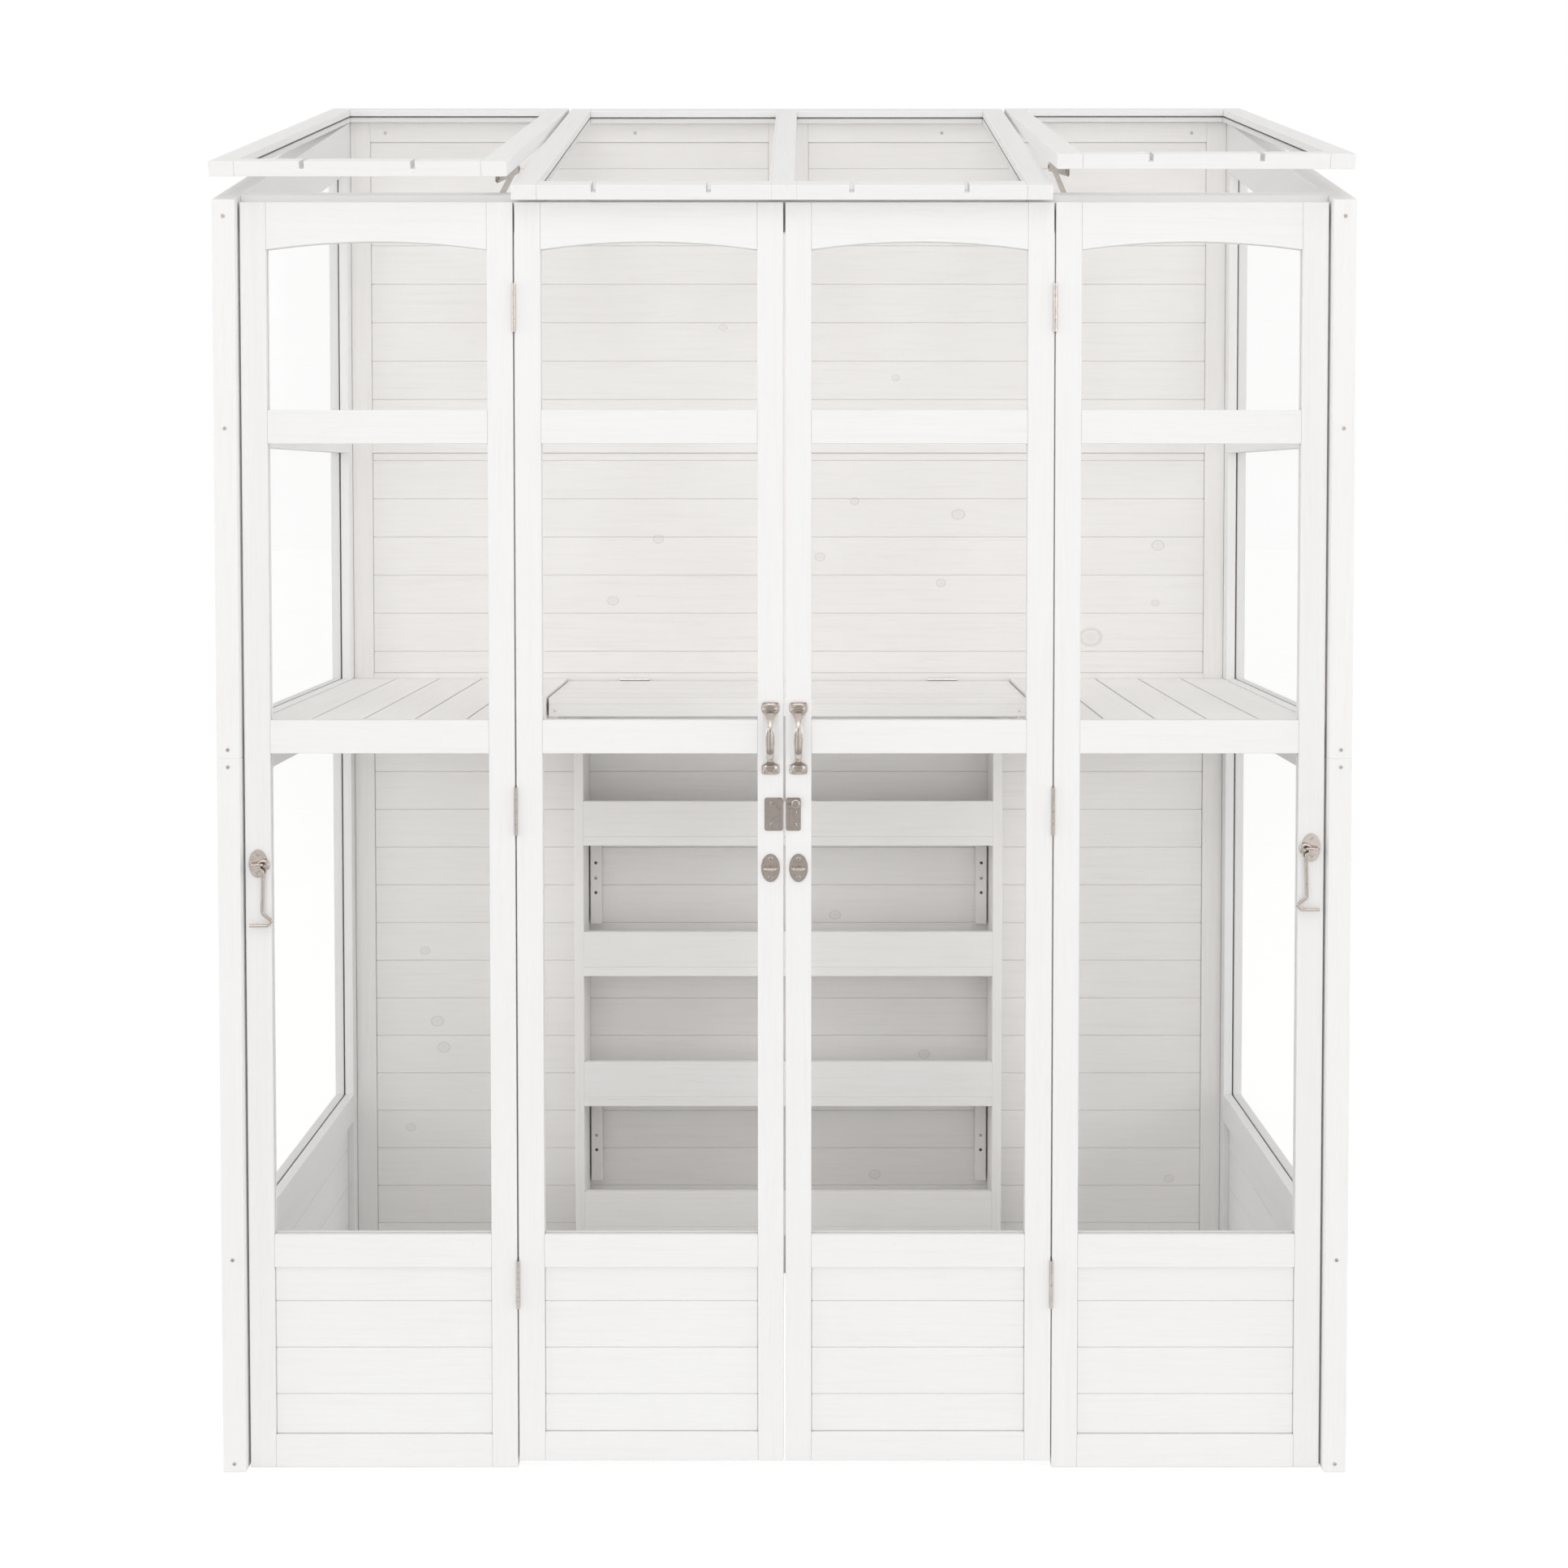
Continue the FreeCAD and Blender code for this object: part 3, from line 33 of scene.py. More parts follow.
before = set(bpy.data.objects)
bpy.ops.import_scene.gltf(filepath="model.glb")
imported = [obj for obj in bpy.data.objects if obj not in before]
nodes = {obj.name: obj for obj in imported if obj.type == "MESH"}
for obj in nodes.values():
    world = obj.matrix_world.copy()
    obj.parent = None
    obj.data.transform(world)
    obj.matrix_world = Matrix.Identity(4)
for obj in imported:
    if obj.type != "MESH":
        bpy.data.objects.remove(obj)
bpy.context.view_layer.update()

# Places that materials and the camera need
ROOF_SLOPE = math.radians(17.0)
FRONT_Y = -0.3565          # front face of doors and fixed panels
DOOR_STILE = 0.035
SIDE_STILE = 0.047
ROOF_STILE = 0.034
BACK_STILE = 0.033
BOARD_PITCH = 0.0646
TOP_BOARD = 0.048
SEAM_HALF = 0.0004         # half width of the dark line in a frame's joint
BOARD_SEAM_HALF = 0.0006   # and between boards
SEAM_DEPTH = 0.2           # how plainly both show
HOLE_R = 0.0026            # empty screw holes in the rack's battens, painted as dark spots of shade
SHELF_PITCH = 0.0725
SLAT_PITCH = 0.0723
FOLD_STILE = 0.02          # folding shelf's frame

# Pull handles, in front of the doors' face
HANDLE_X = 0.019
HANDLE_Z = 1.0049
HANDLE_HALF = 0.04935
HANDLE_SCREW_R = 0.0025
HANDLE_SCREW_X = 0.0066    # screws from the middle of a foot, sideways and outwards along the handle
HANDLE_SCREW_Z = 0.002
FOOT_HALF_W = 0.01225
FOOT_HALF_H = 0.0074
GRIP_HALF = 0.0352         # half length between the feet
GRIP_ROOT = 0.0018
GRIP_REACH = 0.0245
GRIP_ROWS = 56
GRIP_POINTS = 48
GRIP_WIDTHS = (            # share of the way down, width there
    (0.0, 0.0200), (0.05, 0.0150), (0.10, 0.0102), (0.17, 0.0078), (0.23, 0.0074), (0.33, 0.0107),
    (0.51, 0.0123), (0.72, 0.0113), (0.82, 0.0099), (0.92, 0.0083), (0.965, 0.0115), (1.0, 0.0170),
)
GRIP_THICKNESS = ((0.0, 0.0018), (0.1, 0.0032), (0.3, 0.0042), (0.7, 0.0042), (0.9, 0.0034), (1.0, 0.0018))
GROOVED = (0.27, 0.8)      # shares of the way down between which the grip is grooved
GROOVE_FADE = 12.0         # the higher, the sooner they reach full depth
GROOVES = (-0.5, 0.0, 0.5)    # across the grip; these three are shares of half its size
GROOVE_WIDTH = 0.1
GROOVE_DEPTH = 0.22
FOOT_PROFILE = (           # share of the full size, and height in mm
    (1.0, 0.0), (1.0, 1.5), (0.96, 2.0), (0.88, 2.15), (0.80, 1.55), (0.72, 1.6), (0.60, 2.3), (0.35, 2.7),
    (0.05, 2.8),
)
FOOT_CORNER = 5            # the higher, the squarer a foot's corners
SCREW_PROFILE = ((1.0, 1.4), (1.0, 2.3), (0.88, 2.9), (0.6, 3.25), (0.36, 3.3), (0.2, 2.7), (0.05, 2.5))

# Cabin hooks
HOOK_X = 0.70707
HOOK_Y = -0.36314
HOOK_WIRE = 0.0023
HOOK_RING_R = 0.0064
HOOK_RING_DROP = 0.002
HOOK_SHAFT = 0.0586
HOOK_PIVOTS = ((-1, "left", 0.8337), (1, "right", 0.8558))    # side, its name and the pivot's height
HOOK_LEAN = 0.002          # shaft outwards over its length
HOOK_KINK = 0.013
HOOK_KINK_DROP = 0.0105
HOOK_BEND_OUT = 0.006
HOOK_BEND_DROP = 0.0065
HOOK_TIP = 0.0244
HOOK_ROUND = (0.006, 0.0042)    # how far before and after a corner the wire starts to bend
RING_SWELL = 1.05          # the wire runs a little inside its points
RING_START = -40           # degrees
RING_STEP = 31
RING_POINTS = 11

# Camera
IMAGE = 1932
LENS_PX = 2643.0
CAMERA_X = 0.028
CAMERA_Z = 1.3502
CAMERA_DISTANCE = 2.9      # in front of the doors
CAMERA_TILT = math.radians(2.0)    # down
AXIS_PX = (992.0, 688.0)   # where the line of sight meets the picture
SENSOR_WIDTH = 36.0        # mm

# Colours
WHITE_PAINT = (0.90, 0.90, 0.90, 1)
# the inside's white paint: painted lighter than the outside to stand in for light, and warmer for the tint
# of shade inside
BRIGHTENED_INNER_PAINT = (0.95, 0.935, 0.925, 1)
GRAIN_TONE = (0.70, 0.66, 0.62, 1)
# dark joints between parts, and also the painted shade in the timber's narrow corners
JOINT_AND_SHADE_TONE = (0.45, 0.40, 0.36, 1)
KNOT_TONE = (0.50, 0.45, 0.41, 1)
NICKEL = (0.60, 0.545, 0.50, 1)
ZINC = (0.54, 0.49, 0.45, 1)
DARK_SPOT = (0.30, 0.27, 0.25, 1)
# painted shade in empty screw holes and in the creases of the metal
CREVICE_SHADE_TONE = (0.10, 0.085, 0.075, 1)
OUTER_FIGURE = 0.45        # how plainly the grain shows through the stain
INNER_FIGURE = 0.6
WARM_SKY = (1.0, 0.99, 0.98, 1)
SKY_STRENGTH = 0.60
FLOOR_GLOW = 1.18          # floor as it is seen, and the share of that in its look
FLOOR_SHARE = 0.72
FLOOR_SIZE = 80.0
FLOOR_DROP = 0.0005        # under the feet
FLOOR_PAINT = (0.94, 0.94, 0.94, 1)

# Grain of the timber: how fine each pattern is, and how far it darkens the stain; and how far painted shade
# darkens narrow corners
FIBRE_SCALE = 900.0
STREAK_SCALE = 170.0
FIGURE_SCALE = 42.0
BLOTCH_SCALE = 6.0
STREAK_SHARE = 0.16
RING_SHARE = 0.10
FIBRE_SHARE = 0.10
BLOTCH_SHARE = 0.08
BOARD_SHARE = 0.12         # from board to board
CREASE_SHADE_SHARE = 0.25        # painted shade in narrow corners

# Joints of boards: the first one in the back wall's lowest bay, then (floor, first joint) of the bays above
BACK_FIRST_JOINT = 0.926
BACK_BAYS = ((0.984, 1.3888), (1.402, 1.8793))
FIRST_LIP = 0.1162         # the pot rack's lips, each with a figure of its own
LIP_PITCH = 0.2171

# Knots that show on the back wall: x, z and radius
KNOTS = (
    (-0.220, 1.2564, 0.0065), (0.287, 1.298, 0.008), (0.053, 1.226, 0.0065), (-0.297, 1.1517, 0.007),
    (0.258, 1.182, 0.006), (0.112, 1.32, 0.0055), (0.625, 1.2455, 0.008), (0.621, 1.1476, 0.005),
    (0.512, 1.09, 0.014), (-0.619, 0.555, 0.006), (-0.599, 0.434, 0.008), (-0.588, 0.389, 0.008),
    (-0.645, 0.251, 0.006), (0.650, 0.163, 0.006), (0.231, 0.377, 0.007), (0.147, 0.17, 0.007),
    (-0.143, 0.123, 0.008), (0.079, 0.616, 0.007), (0.181, 1.528, 0.005), (-0.110, 1.613, 0.005),
)

# Empty screw holes in the rack's battens, painted as dark spots of shade: x and z
HOLES = tuple((side * 0.326, z) for side in (-1, 1) for z in (0.219, 0.6585, 0.709))

# Nodes of bright metal and of duller zinc
BRIGHT_NODES = (
    "left_door_hinge_leaves", "right_door_hinge_leaves", "hook_plates",
    "left_door_eye", "right_door_eye", "latch_keeper", "latch_plate", "latch_bolt",
)
ZINC_NODES = (
    "timber_screws", "stay_post_brackets", "left_stay_upper_arm", "left_stay_lower_arm",
    "right_stay_upper_arm", "right_stay_lower_arm", "left_flap_fittings", "right_flap_fittings",
)
FOLD_HINGE_BAND = (0.995, 1.04)    # heights between which the folding shelf's hinges are painted over


class Shader:
    """One material and short calls that add and link its nodes."""

    def __init__(self, name):
        self.material = bpy.data.materials.new(name)
        self.material.use_nodes = True
        self.tree = self.material.node_tree
        self.surface = self.tree.nodes["Principled BSDF"]
        coordinates = self.add("ShaderNodeTexCoord")
        self.place = coordinates.outputs["Object"]
        self.facing = coordinates.outputs["Normal"]

    def add(self, kind, inputs=None, **settings):
        node = self.tree.nodes.new(kind)
        for name, value in settings.items():
            setattr(node, name, value)
        for name, value in (inputs or {}).items():
            self.feed(node.inputs[name], value)
        return node

    def feed(self, socket, value):
        if isinstance(value, bpy.types.NodeSocket):
            self.tree.links.new(value, socket)
        else:
            socket.default_value = value

    def math(self, operation, first, second=0.0, third=0.0):
        return self.add("ShaderNodeMath", {0: first, 1: second, 2: third}, operation=operation).outputs[0]

    def length(self, first, second):
        """Length of a flat vector."""
        squares = self.math("MULTIPLY_ADD", first, first, self.math("MULTIPLY", second, second))
        return self.math("SQRT", squares)

    def ramp(self, value, low, high):
        """0 at low and 1 at high, smoothly."""
        inputs = {"Value": value, "From Min": low, "From Max": high}
        return self.add("ShaderNodeMapRange", inputs, interpolation_type="SMOOTHSTEP").outputs["Result"]

    def mix(self, factor, first, second):
        node = self.add("ShaderNodeMix", data_type="RGBA")
        self.feed(node.inputs[0], factor)
        self.feed(node.inputs[6], first)
        self.feed(node.inputs[7], second)
        return node.outputs[2]

    def noise(self, vector, scale, detail=2.0, distortion=0.0):
        inputs = {"Vector": vector, "Scale": scale, "Detail": detail, "Distortion": distortion}
        return self.add("ShaderNodeTexNoise", inputs).outputs[0]

    def crease(self, reach, samples):
        """1 in corners narrower than the reach, 0 on open faces; the mask that the materials paint shade
        with.
        """
        hollow = self.add("ShaderNodeAmbientOcclusion", {"Distance": reach}, samples=samples)
        return self.ramp(hollow.outputs["AO"], 0.75, 0.15)

    def set(self, name, value):
        self.feed(self.surface.inputs[name], value)


def grain_space(shader, axes, along):
    """Position with the grain's direction last and squeezed, so that noise draws out along it."""
    across = [axes[name] for name in "XYZ" if name != along]
    squeezed = shader.math("MULTIPLY", axes[along], 0.035)
    return shader.add("ShaderNodeCombineXYZ", {0: across[0], 1: across[1], 2: squeezed}).outputs[0]


def seam_at(shader, axis, distance, half):
    """Dark line where the distance is small, left off the faces that lie in the joint itself."""
    normal = shader.add("ShaderNodeSeparateXYZ", {0: shader.facing}).outputs[axis]
    across = shader.math("LESS_THAN", shader.math("ABSOLUTE", normal), 0.9)
    return shader.math("MULTIPLY", shader.ramp(distance, half * 1.5, half * 0.5), across)


def blend_vector(shader, factor, first, second):
    blend = shader.add("ShaderNodeMix", data_type="VECTOR")
    shader.feed(blend.inputs[0], factor)
    shader.feed(blend.inputs[4], first)
    shader.feed(blend.inputs[5], second)
    return blend.outputs[1]


def board_figure(shader, axes, board, bays, vector):
    """Grain moved to another place in each board; with the board's tone and the seams between boards."""
    axis, first, pitch = board
    joint = first
    for floor, bay_first in bays:
        above = shader.math("GREATER_THAN", axes[axis], floor)
        joint = shader.math("MULTIPLY_ADD", above, bay_first - first, joint)
        first = bay_first
    count = shader.math("DIVIDE", shader.math("SUBTRACT", axes[axis], joint), pitch)
    side = shader.math("MULTIPLY", shader.math("GREATER_THAN", axes["X"], 0.0), 37.0)
    number = shader.math("ADD", shader.math("FLOOR", count), side)
    chance = shader.add("ShaderNodeTexWhiteNoise", {"W": number}, noise_dimensions="1D")
    jump = shader.add("ShaderNodeVectorMath", {0: chance.outputs["Color"]}, operation="SCALE")
    jump.inputs["Scale"].default_value = 3.0
    moved = shader.add("ShaderNodeVectorMath", {0: vector, 1: jump.outputs[0]}, operation="ADD")
    off = shader.math("MULTIPLY", shader.math("PINGPONG", count, 0.5), pitch)
    return moved.outputs[0], chance.outputs["Value"], seam_at(shader, axis, off, BOARD_SEAM_HALF)


def draw_knots(shader, base, axes, streaks, knots):
    """Knots with a darker rim, a little wider than high."""
    for x, z, radius in knots:
        dx = shader.math("MULTIPLY", shader.math("SUBTRACT", axes["X"], x), 0.8)
        reach = shader.length(dx, shader.math("SUBTRACT", axes["Z"], z))
        reach = shader.math("MULTIPLY_ADD", shader.math("SUBTRACT", streaks, 0.5), radius * 0.5, reach)
        from_rim = shader.math("ABSOLUTE", shader.math("SUBTRACT", reach, radius))
        rim = shader.math("MULTIPLY", shader.ramp(from_rim, radius * 0.3, 0.0), 0.28)
        core = shader.math("MULTIPLY", shader.ramp(reach, radius, radius * 0.3), 0.13)
        base = shader.mix(shader.math("ADD", rim, core), base, KNOT_TONE)
    return base


def paint_hole_shade(shader, base, axes, holes):
    """Round dark spots of painted shade where empty screw holes are."""
    for x, z in holes:
        reach = shader.length(shader.math("SUBTRACT", axes["X"], x), shader.math("SUBTRACT", axes["Z"], z))
        base = shader.mix(shader.ramp(reach, HOLE_R * 1.15, HOLE_R * 0.85), base, CREVICE_SHADE_TONE)
    return base


def timber(name, colour, along, stiles=(), stile_along="Z", board=None, bays=(), sloped=False, knots=(),
           holes=()):
    """White-stained softwood.

    along is the grain's axis and stile_along the grain's axis inside the stiles, each of which is
    (axis, from, to, places of its joint lines). board is (axis, first joint, pitch) of boards that each
    get their own figure, and bays are (from, first joint) of the bays above. knots are (x, z, radius) on
    the back wall, and holes (x, z) of empty screw holes.
    """
    shader = Shader(name)
    place = shader.place
    if sloped:
        level = {"Vector": place, "Rotation": (-ROOF_SLOPE, 0, 0)}
        place = shader.add("ShaderNodeMapping", level).outputs[0]
    strength = OUTER_FIGURE if colour == WHITE_PAINT else INNER_FIGURE
    split = shader.add("ShaderNodeSeparateXYZ", {0: place})
    axes = {letter: split.outputs[letter] for letter in "XYZ"}
    vector = grain_space(shader, axes, along)
    seam = 0.0
    if stiles:
        inside = 0.0
        for axis, low, high, seams in stiles:
            within = shader.math("COMPARE", axes[axis], (low + high) / 2, (high - low) / 2)
            inside = shader.math("MAXIMUM", inside, within)
            for line in seams:
                edge = shader.math("ABSOLUTE", shader.math("SUBTRACT", axes[axis], line))
                seam = shader.math("MAXIMUM", seam, seam_at(shader, axis, edge, SEAM_HALF))
        vector = blend_vector(shader, inside, vector, grain_space(shader, axes, stile_along))
    tone = 0.5
    if board:
        vector, tone, between_boards = board_figure(shader, axes, board, bays, vector)
        seam = shader.math("MAXIMUM", seam, between_boards)

    fibres = shader.noise(vector, FIBRE_SCALE, 2.0)
    streaks = shader.noise(vector, STREAK_SCALE, 3.0, 0.4)
    figure = shader.noise(vector, FIGURE_SCALE, 2.0, 1.2)
    rings = shader.math("PINGPONG", shader.math("MULTIPLY", figure, 9.0), 0.5)
    ring_lines = shader.ramp(rings, 0.14, 0.02)
    blotches = shader.noise(place, BLOTCH_SCALE, 2.0)
    amount = shader.math("MULTIPLY", shader.ramp(streaks, 0.48, 0.75), STREAK_SHARE * strength)
    amount = shader.math("MULTIPLY_ADD", ring_lines, RING_SHARE * strength, amount)
    amount = shader.math("MULTIPLY_ADD", shader.ramp(fibres, 0.5, 0.8), FIBRE_SHARE * strength, amount)
    amount = shader.math("MULTIPLY_ADD", shader.ramp(blotches, 0.35, 0.75), BLOTCH_SHARE * strength, amount)
    amount = shader.math("MULTIPLY_ADD", tone, BOARD_SHARE * strength, amount)
    base = shader.mix(amount, colour, GRAIN_TONE)
    base = draw_knots(shader, base, axes, streaks, knots)
    # Painted shade: dark spots where empty screw holes are
    base = paint_hole_shade(shader, base, axes, holes)
    base = shader.mix(shader.math("MULTIPLY", seam, SEAM_DEPTH), base, JOINT_AND_SHADE_TONE)
    # Painted shade: the stain darkens in narrow corners, where little light reaches
    base = shader.mix(shader.math("MULTIPLY", shader.crease(0.006, 4), CREASE_SHADE_SHARE), base, JOINT_AND_SHADE_TONE)
    shader.set("Base Color", base)
    shader.set("Roughness", shader.math("MULTIPLY_ADD", streaks, 0.18, 0.5))
    relief = shader.math("MULTIPLY_ADD", fibres, 0.5, shader.math("MULTIPLY", ring_lines, -0.5))
    relief = shader.math("SUBTRACT", relief, seam)
    bump = shader.add("ShaderNodeBump", {"Height": relief, "Strength": 0.25, "Distance": 0.0006})
    shader.set("Normal", bump.outputs[0])
    shader.surface.inputs["Specular IOR Level"].default_value = 0.35
    return shader.material


def glazing(name, tint, gloss_share):
    """Clear sheet: see-through head on, glossier at a grazing angle, with faint waviness."""
    shader = Shader(name)
    wave = shader.noise(shader.place, 7.0, 1.0)
    bump = shader.add("ShaderNodeBump", {"Height": wave, "Strength": 0.05, "Distance": 0.002}).outputs[0]
    clear = shader.add("ShaderNodeBsdfTransparent", {"Color": tint})
    gloss = shader.add("ShaderNodeBsdfGlossy",
                       {"Color": (0.9, 0.9, 0.9, 1), "Roughness": 0.03, "Normal": bump})
    edge = shader.add("ShaderNodeFresnel", {"IOR": 1.45}).outputs[0]
    share = shader.math("MULTIPLY", edge, gloss_share)
    both = shader.add("ShaderNodeMixShader", {0: share, 1: clear.outputs[0], 2: gloss.outputs[0]})
    output = shader.tree.nodes["Material Output"]
    shader.feed(output.inputs["Surface"], both.outputs[0])
    return shader.material


def metal(name, colour, roughness, painted=None):
    """Plated steel with fine brushing, smudges and dull spots, and painted shade in its creases; white
    paint between two heights if given.
    """
    shader = Shader(name)
    stretched = shader.add("ShaderNodeMapping", {"Vector": shader.place, "Scale": (1, 1, 0.15)}).outputs[0]
    brushing = shader.noise(stretched, 2400.0, 2.0)
    smudges = shader.noise(shader.place, 160.0, 3.0)
    spots = shader.ramp(shader.noise(shader.place, 1300.0, 1.0), 0.70, 0.78)
    dull = tuple(channel * 0.72 for channel in colour[:3]) + (1,)
    base = shader.mix(shader.math("MULTIPLY", shader.ramp(smudges, 0.4, 0.8), 0.5), colour, dull)
    base = shader.mix(shader.math("MULTIPLY", spots, 0.35), base, DARK_SPOT)
    rough = shader.math("MULTIPLY_ADD", smudges, 0.14, roughness)
    if painted:
        low, high = painted
        height = shader.add("ShaderNodeSeparateXYZ", {0: shader.place}).outputs["Z"]
        paint_here = shader.math("COMPARE", height, (low + high) / 2, (high - low) / 2)
        # the hinges' white paint is the inner paint, painted lighter and warmer for the light and shade
        # inside
        base = shader.mix(paint_here, base, BRIGHTENED_INNER_PAINT)
        rough = shader.math("MAXIMUM", rough, shader.math("MULTIPLY", paint_here, 0.55))
        shader.set("Metallic", shader.math("SUBTRACT", 1.0, paint_here))
    else:
        shader.surface.inputs["Metallic"].default_value = 1.0
    # Painted shade: the metal darkens in creases round screws, straps and ribs
    base = shader.mix(shader.math("MULTIPLY", shader.crease(0.004, 8), 0.75), base, CREVICE_SHADE_TONE)
    shader.set("Base Color", base)
    shader.set("Roughness", rough)
    bump = shader.add("ShaderNodeBump", {"Height": brushing, "Strength": 0.05, "Distance": 0.0003})
    shader.set("Normal", bump.outputs[0])
    return shader.material


def stiles_of(node, axis, width, middle=None):
    """The two outer stiles of a frame node, and a middle one given by its range and joint lines."""
    low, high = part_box(node)
    index = "XYZ".index(axis)
    first, last = low[index], high[index]
    stiles = [(axis, first, first + width, (first + width,)), (axis, last - width, last, (last - width,))]
    if middle:
        stiles.append((axis, *middle))
    return stiles


def paint(node, material):
    """Give a node of the solids one material."""
    mesh = nodes[node].data
    mesh.materials.clear()
    mesh.materials.append(material)


def dress_timber():
    """Give every timber node its own run of grain."""
    for side in ("left", "right"):
        for leaf in ("door", "panel"):
            node = f"{side}_{leaf}_frame"
            paint(node, timber(node, WHITE_PAINT, "X", stiles_of(node, "X", DOOR_STILE)))
            node = f"{side}_{leaf}_boards"
            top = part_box(node)[1].z
            paint(node, timber(node, WHITE_PAINT, "X", board=("Z", top - TOP_BOARD, BOARD_PITCH)))
        for level in ("lower", "upper"):
            node = f"{side}_wall_{level}_frame"
            paint(node, timber(node, WHITE_PAINT, "Y", stiles_of(node, "Y", SIDE_STILE)))
        node = side + "_wall_boards"
        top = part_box(node)[1].z
        paint(node, timber(node, WHITE_PAINT, "Y", board=("Z", top - TOP_BOARD, BOARD_PITCH)))
        node = side + "_flap_frame"
        paint(node, timber(node, WHITE_PAINT, "X", stiles_of(node, "X", ROOF_STILE), "Y", sloped=True))
        node = side + "_shelf"
        paint(node, timber(node, BRIGHTENED_INNER_PAINT, "Y", board=("X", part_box(node)[0].x, SHELF_PITCH)))
    node = "middle_light_frame"
    edge = ROOF_STILE / 2
    ranges = stiles_of(node, "X", ROOF_STILE, (-edge, edge, (-edge, edge)))
    paint(node, timber(node, WHITE_PAINT, "X", ranges, "Y", sloped=True))
    paint("top_beam", timber("top_beam", WHITE_PAINT, "X"))

    node = "back_wall_frame"
    ranges = stiles_of(node, "X", BACK_STILE, (-BACK_STILE, BACK_STILE, (-BACK_STILE, 0.0, BACK_STILE)))
    paint(node, timber(node, BRIGHTENED_INNER_PAINT, "X", ranges))
    boards = ("Z", BACK_FIRST_JOINT, BOARD_PITCH)
    node = "back_wall_boards"
    paint(node, timber(node, BRIGHTENED_INNER_PAINT, "X", board=boards, bays=BACK_BAYS, knots=KNOTS))
    paint("bearers_and_battens", timber("bearers", BRIGHTENED_INNER_PAINT, "Y", holes=HOLES))
    node = "folding_shelf_slats"
    paint(node, timber(node, BRIGHTENED_INNER_PAINT, "X", board=("Y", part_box(node)[0].y, SLAT_PITCH)))
    node = "folding_shelf_frame"
    paint(node, timber(node, BRIGHTENED_INNER_PAINT, "Y", stiles_of(node, "Y", FOLD_STILE), "X"))
    paint("rack_sides", timber("rack_sides", BRIGHTENED_INNER_PAINT, "Z"))
    paint("rack_shelves", timber("rack_shelves", BRIGHTENED_INNER_PAINT, "X"))
    paint("rack_lips", timber("rack_lips", BRIGHTENED_INNER_PAINT, "X", board=("Z", FIRST_LIP, LIP_PITCH)))


def dress_rest():
    """Glass and metal nodes; returns the bright metal."""
    clear = glazing("clear_glazing", (0.999, 1.0, 0.999, 1), 0.08)
    roof_clear = glazing("roof_glazing", (0.978, 0.977, 0.974, 1), 0.1)
    for node in nodes:
        if node.endswith(("panes", "pane")):
            paint(node, roof_clear if "light" in node or "flap" in node else clear)
    bright = metal("bright_nickel", NICKEL, 0.16)
    for node in BRIGHT_NODES:
        paint(node, bright)
    worn = metal("zinc_plate", ZINC, 0.3)
    for node in ZINC_NODES:
        paint(node, worn)
    paint("fixed_hinge_leaves", metal("hinge_nickel", NICKEL, 0.16, FOLD_HINGE_BAND))
    paint("folding_shelf_fittings", metal("shelf_fittings", ZINC, 0.3, FOLD_HINGE_BAND))
    return bright


def loft(rings):
    """Skin over closed rings of points, with both ends closed."""
    around = len(rings[0])
    faces = []
    for row in range(len(rings) - 1):
        for column in range(around):
            after = (column + 1) % around
            faces.append((row * around + column, row * around + after,
                          (row + 1) * around + after, (row + 1) * around + column))
    last = (len(rings) - 1) * around
    faces.append(tuple(range(around)))
    faces.append(tuple(range(last, last + around)))
    return [point for ring in rings for point in ring], faces


def piece(name, shells, body, node, material):
    """One smooth object of several closed shells that stands for a node."""
    vertices, faces = [], []
    for points, polygons in shells:
        start = len(vertices)
        vertices += points
        faces += [tuple(start + corner for corner in polygon) for polygon in polygons]
    mesh = bpy.data.meshes.new(name)
    mesh.from_pydata(vertices, [], faces)
    form = bmesh.new()
    form.from_mesh(mesh)
    bmesh.ops.recalc_face_normals(form, faces=form.faces)
    form.to_mesh(mesh)
    form.free()
    mesh.shade_smooth()
    mesh.materials.append(material)
    made = bpy.data.objects.new(name, mesh)
    bpy.context.scene.collection.objects.link(made)
    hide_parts(node)
    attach(made, body)


def between(pairs, share):
    """Value at a share of the way along (share, value) pairs, drawn smoothly through them."""
    shares = [pair[0] for pair in pairs]
    values = [pair[1] for pair in pairs]
    spot = max(i for i in range(len(shares) - 1) if shares[i] <= share or i == 0)
    before, after = max(spot - 1, 0), min(spot + 2, len(shares) - 1)
    gap = shares[spot + 1] - shares[spot]
    t = (share - shares[spot]) / gap
    start_slope = (values[spot + 1] - values[before]) / (shares[spot + 1] - shares[before]) * gap
    end_slope = (values[after] - values[spot]) / (shares[after] - shares[spot]) * gap
    return (values[spot] * (2 * t ** 3 - 3 * t ** 2 + 1) + values[spot + 1] * (3 * t ** 2 - 2 * t ** 3)
            + start_slope * (t ** 3 - 2 * t ** 2 + t) + end_slope * (t ** 3 - t ** 2))


def rounded_ring(x, y, z, half_width, half_height, power, points=48):
    """Points round a rectangle with soft corners in a plane that faces the front."""
    ring = []
    for step in range(points):
        turn = 2 * math.pi * step / points
        across, up = math.cos(turn), math.sin(turn)
        ring.append((x + half_width * math.copysign(abs(across) ** (2 / power), across), y,
                     z + half_height * math.copysign(abs(up) ** (2 / power), up)))
    return ring


def handle_foot(x, z):
    """Pressed foot plate: a rim, a groove inside it and a raised field."""
    rings = []
    for size, out in FOOT_PROFILE:
        rings.append(rounded_ring(x, FRONT_Y - out / 1000, z, FOOT_HALF_W * size, FOOT_HALF_H * size,
                                  FOOT_CORNER))
    return loft(rings)


def handle_screw(x, z):
    """Domed screw head with a dimple."""
    rings = []
    for size, out in SCREW_PROFILE:
        radius = HANDLE_SCREW_R * size
        rings.append(rounded_ring(x, FRONT_Y - out / 1000, z, radius, radius, 2, 24))
    return loft(rings)


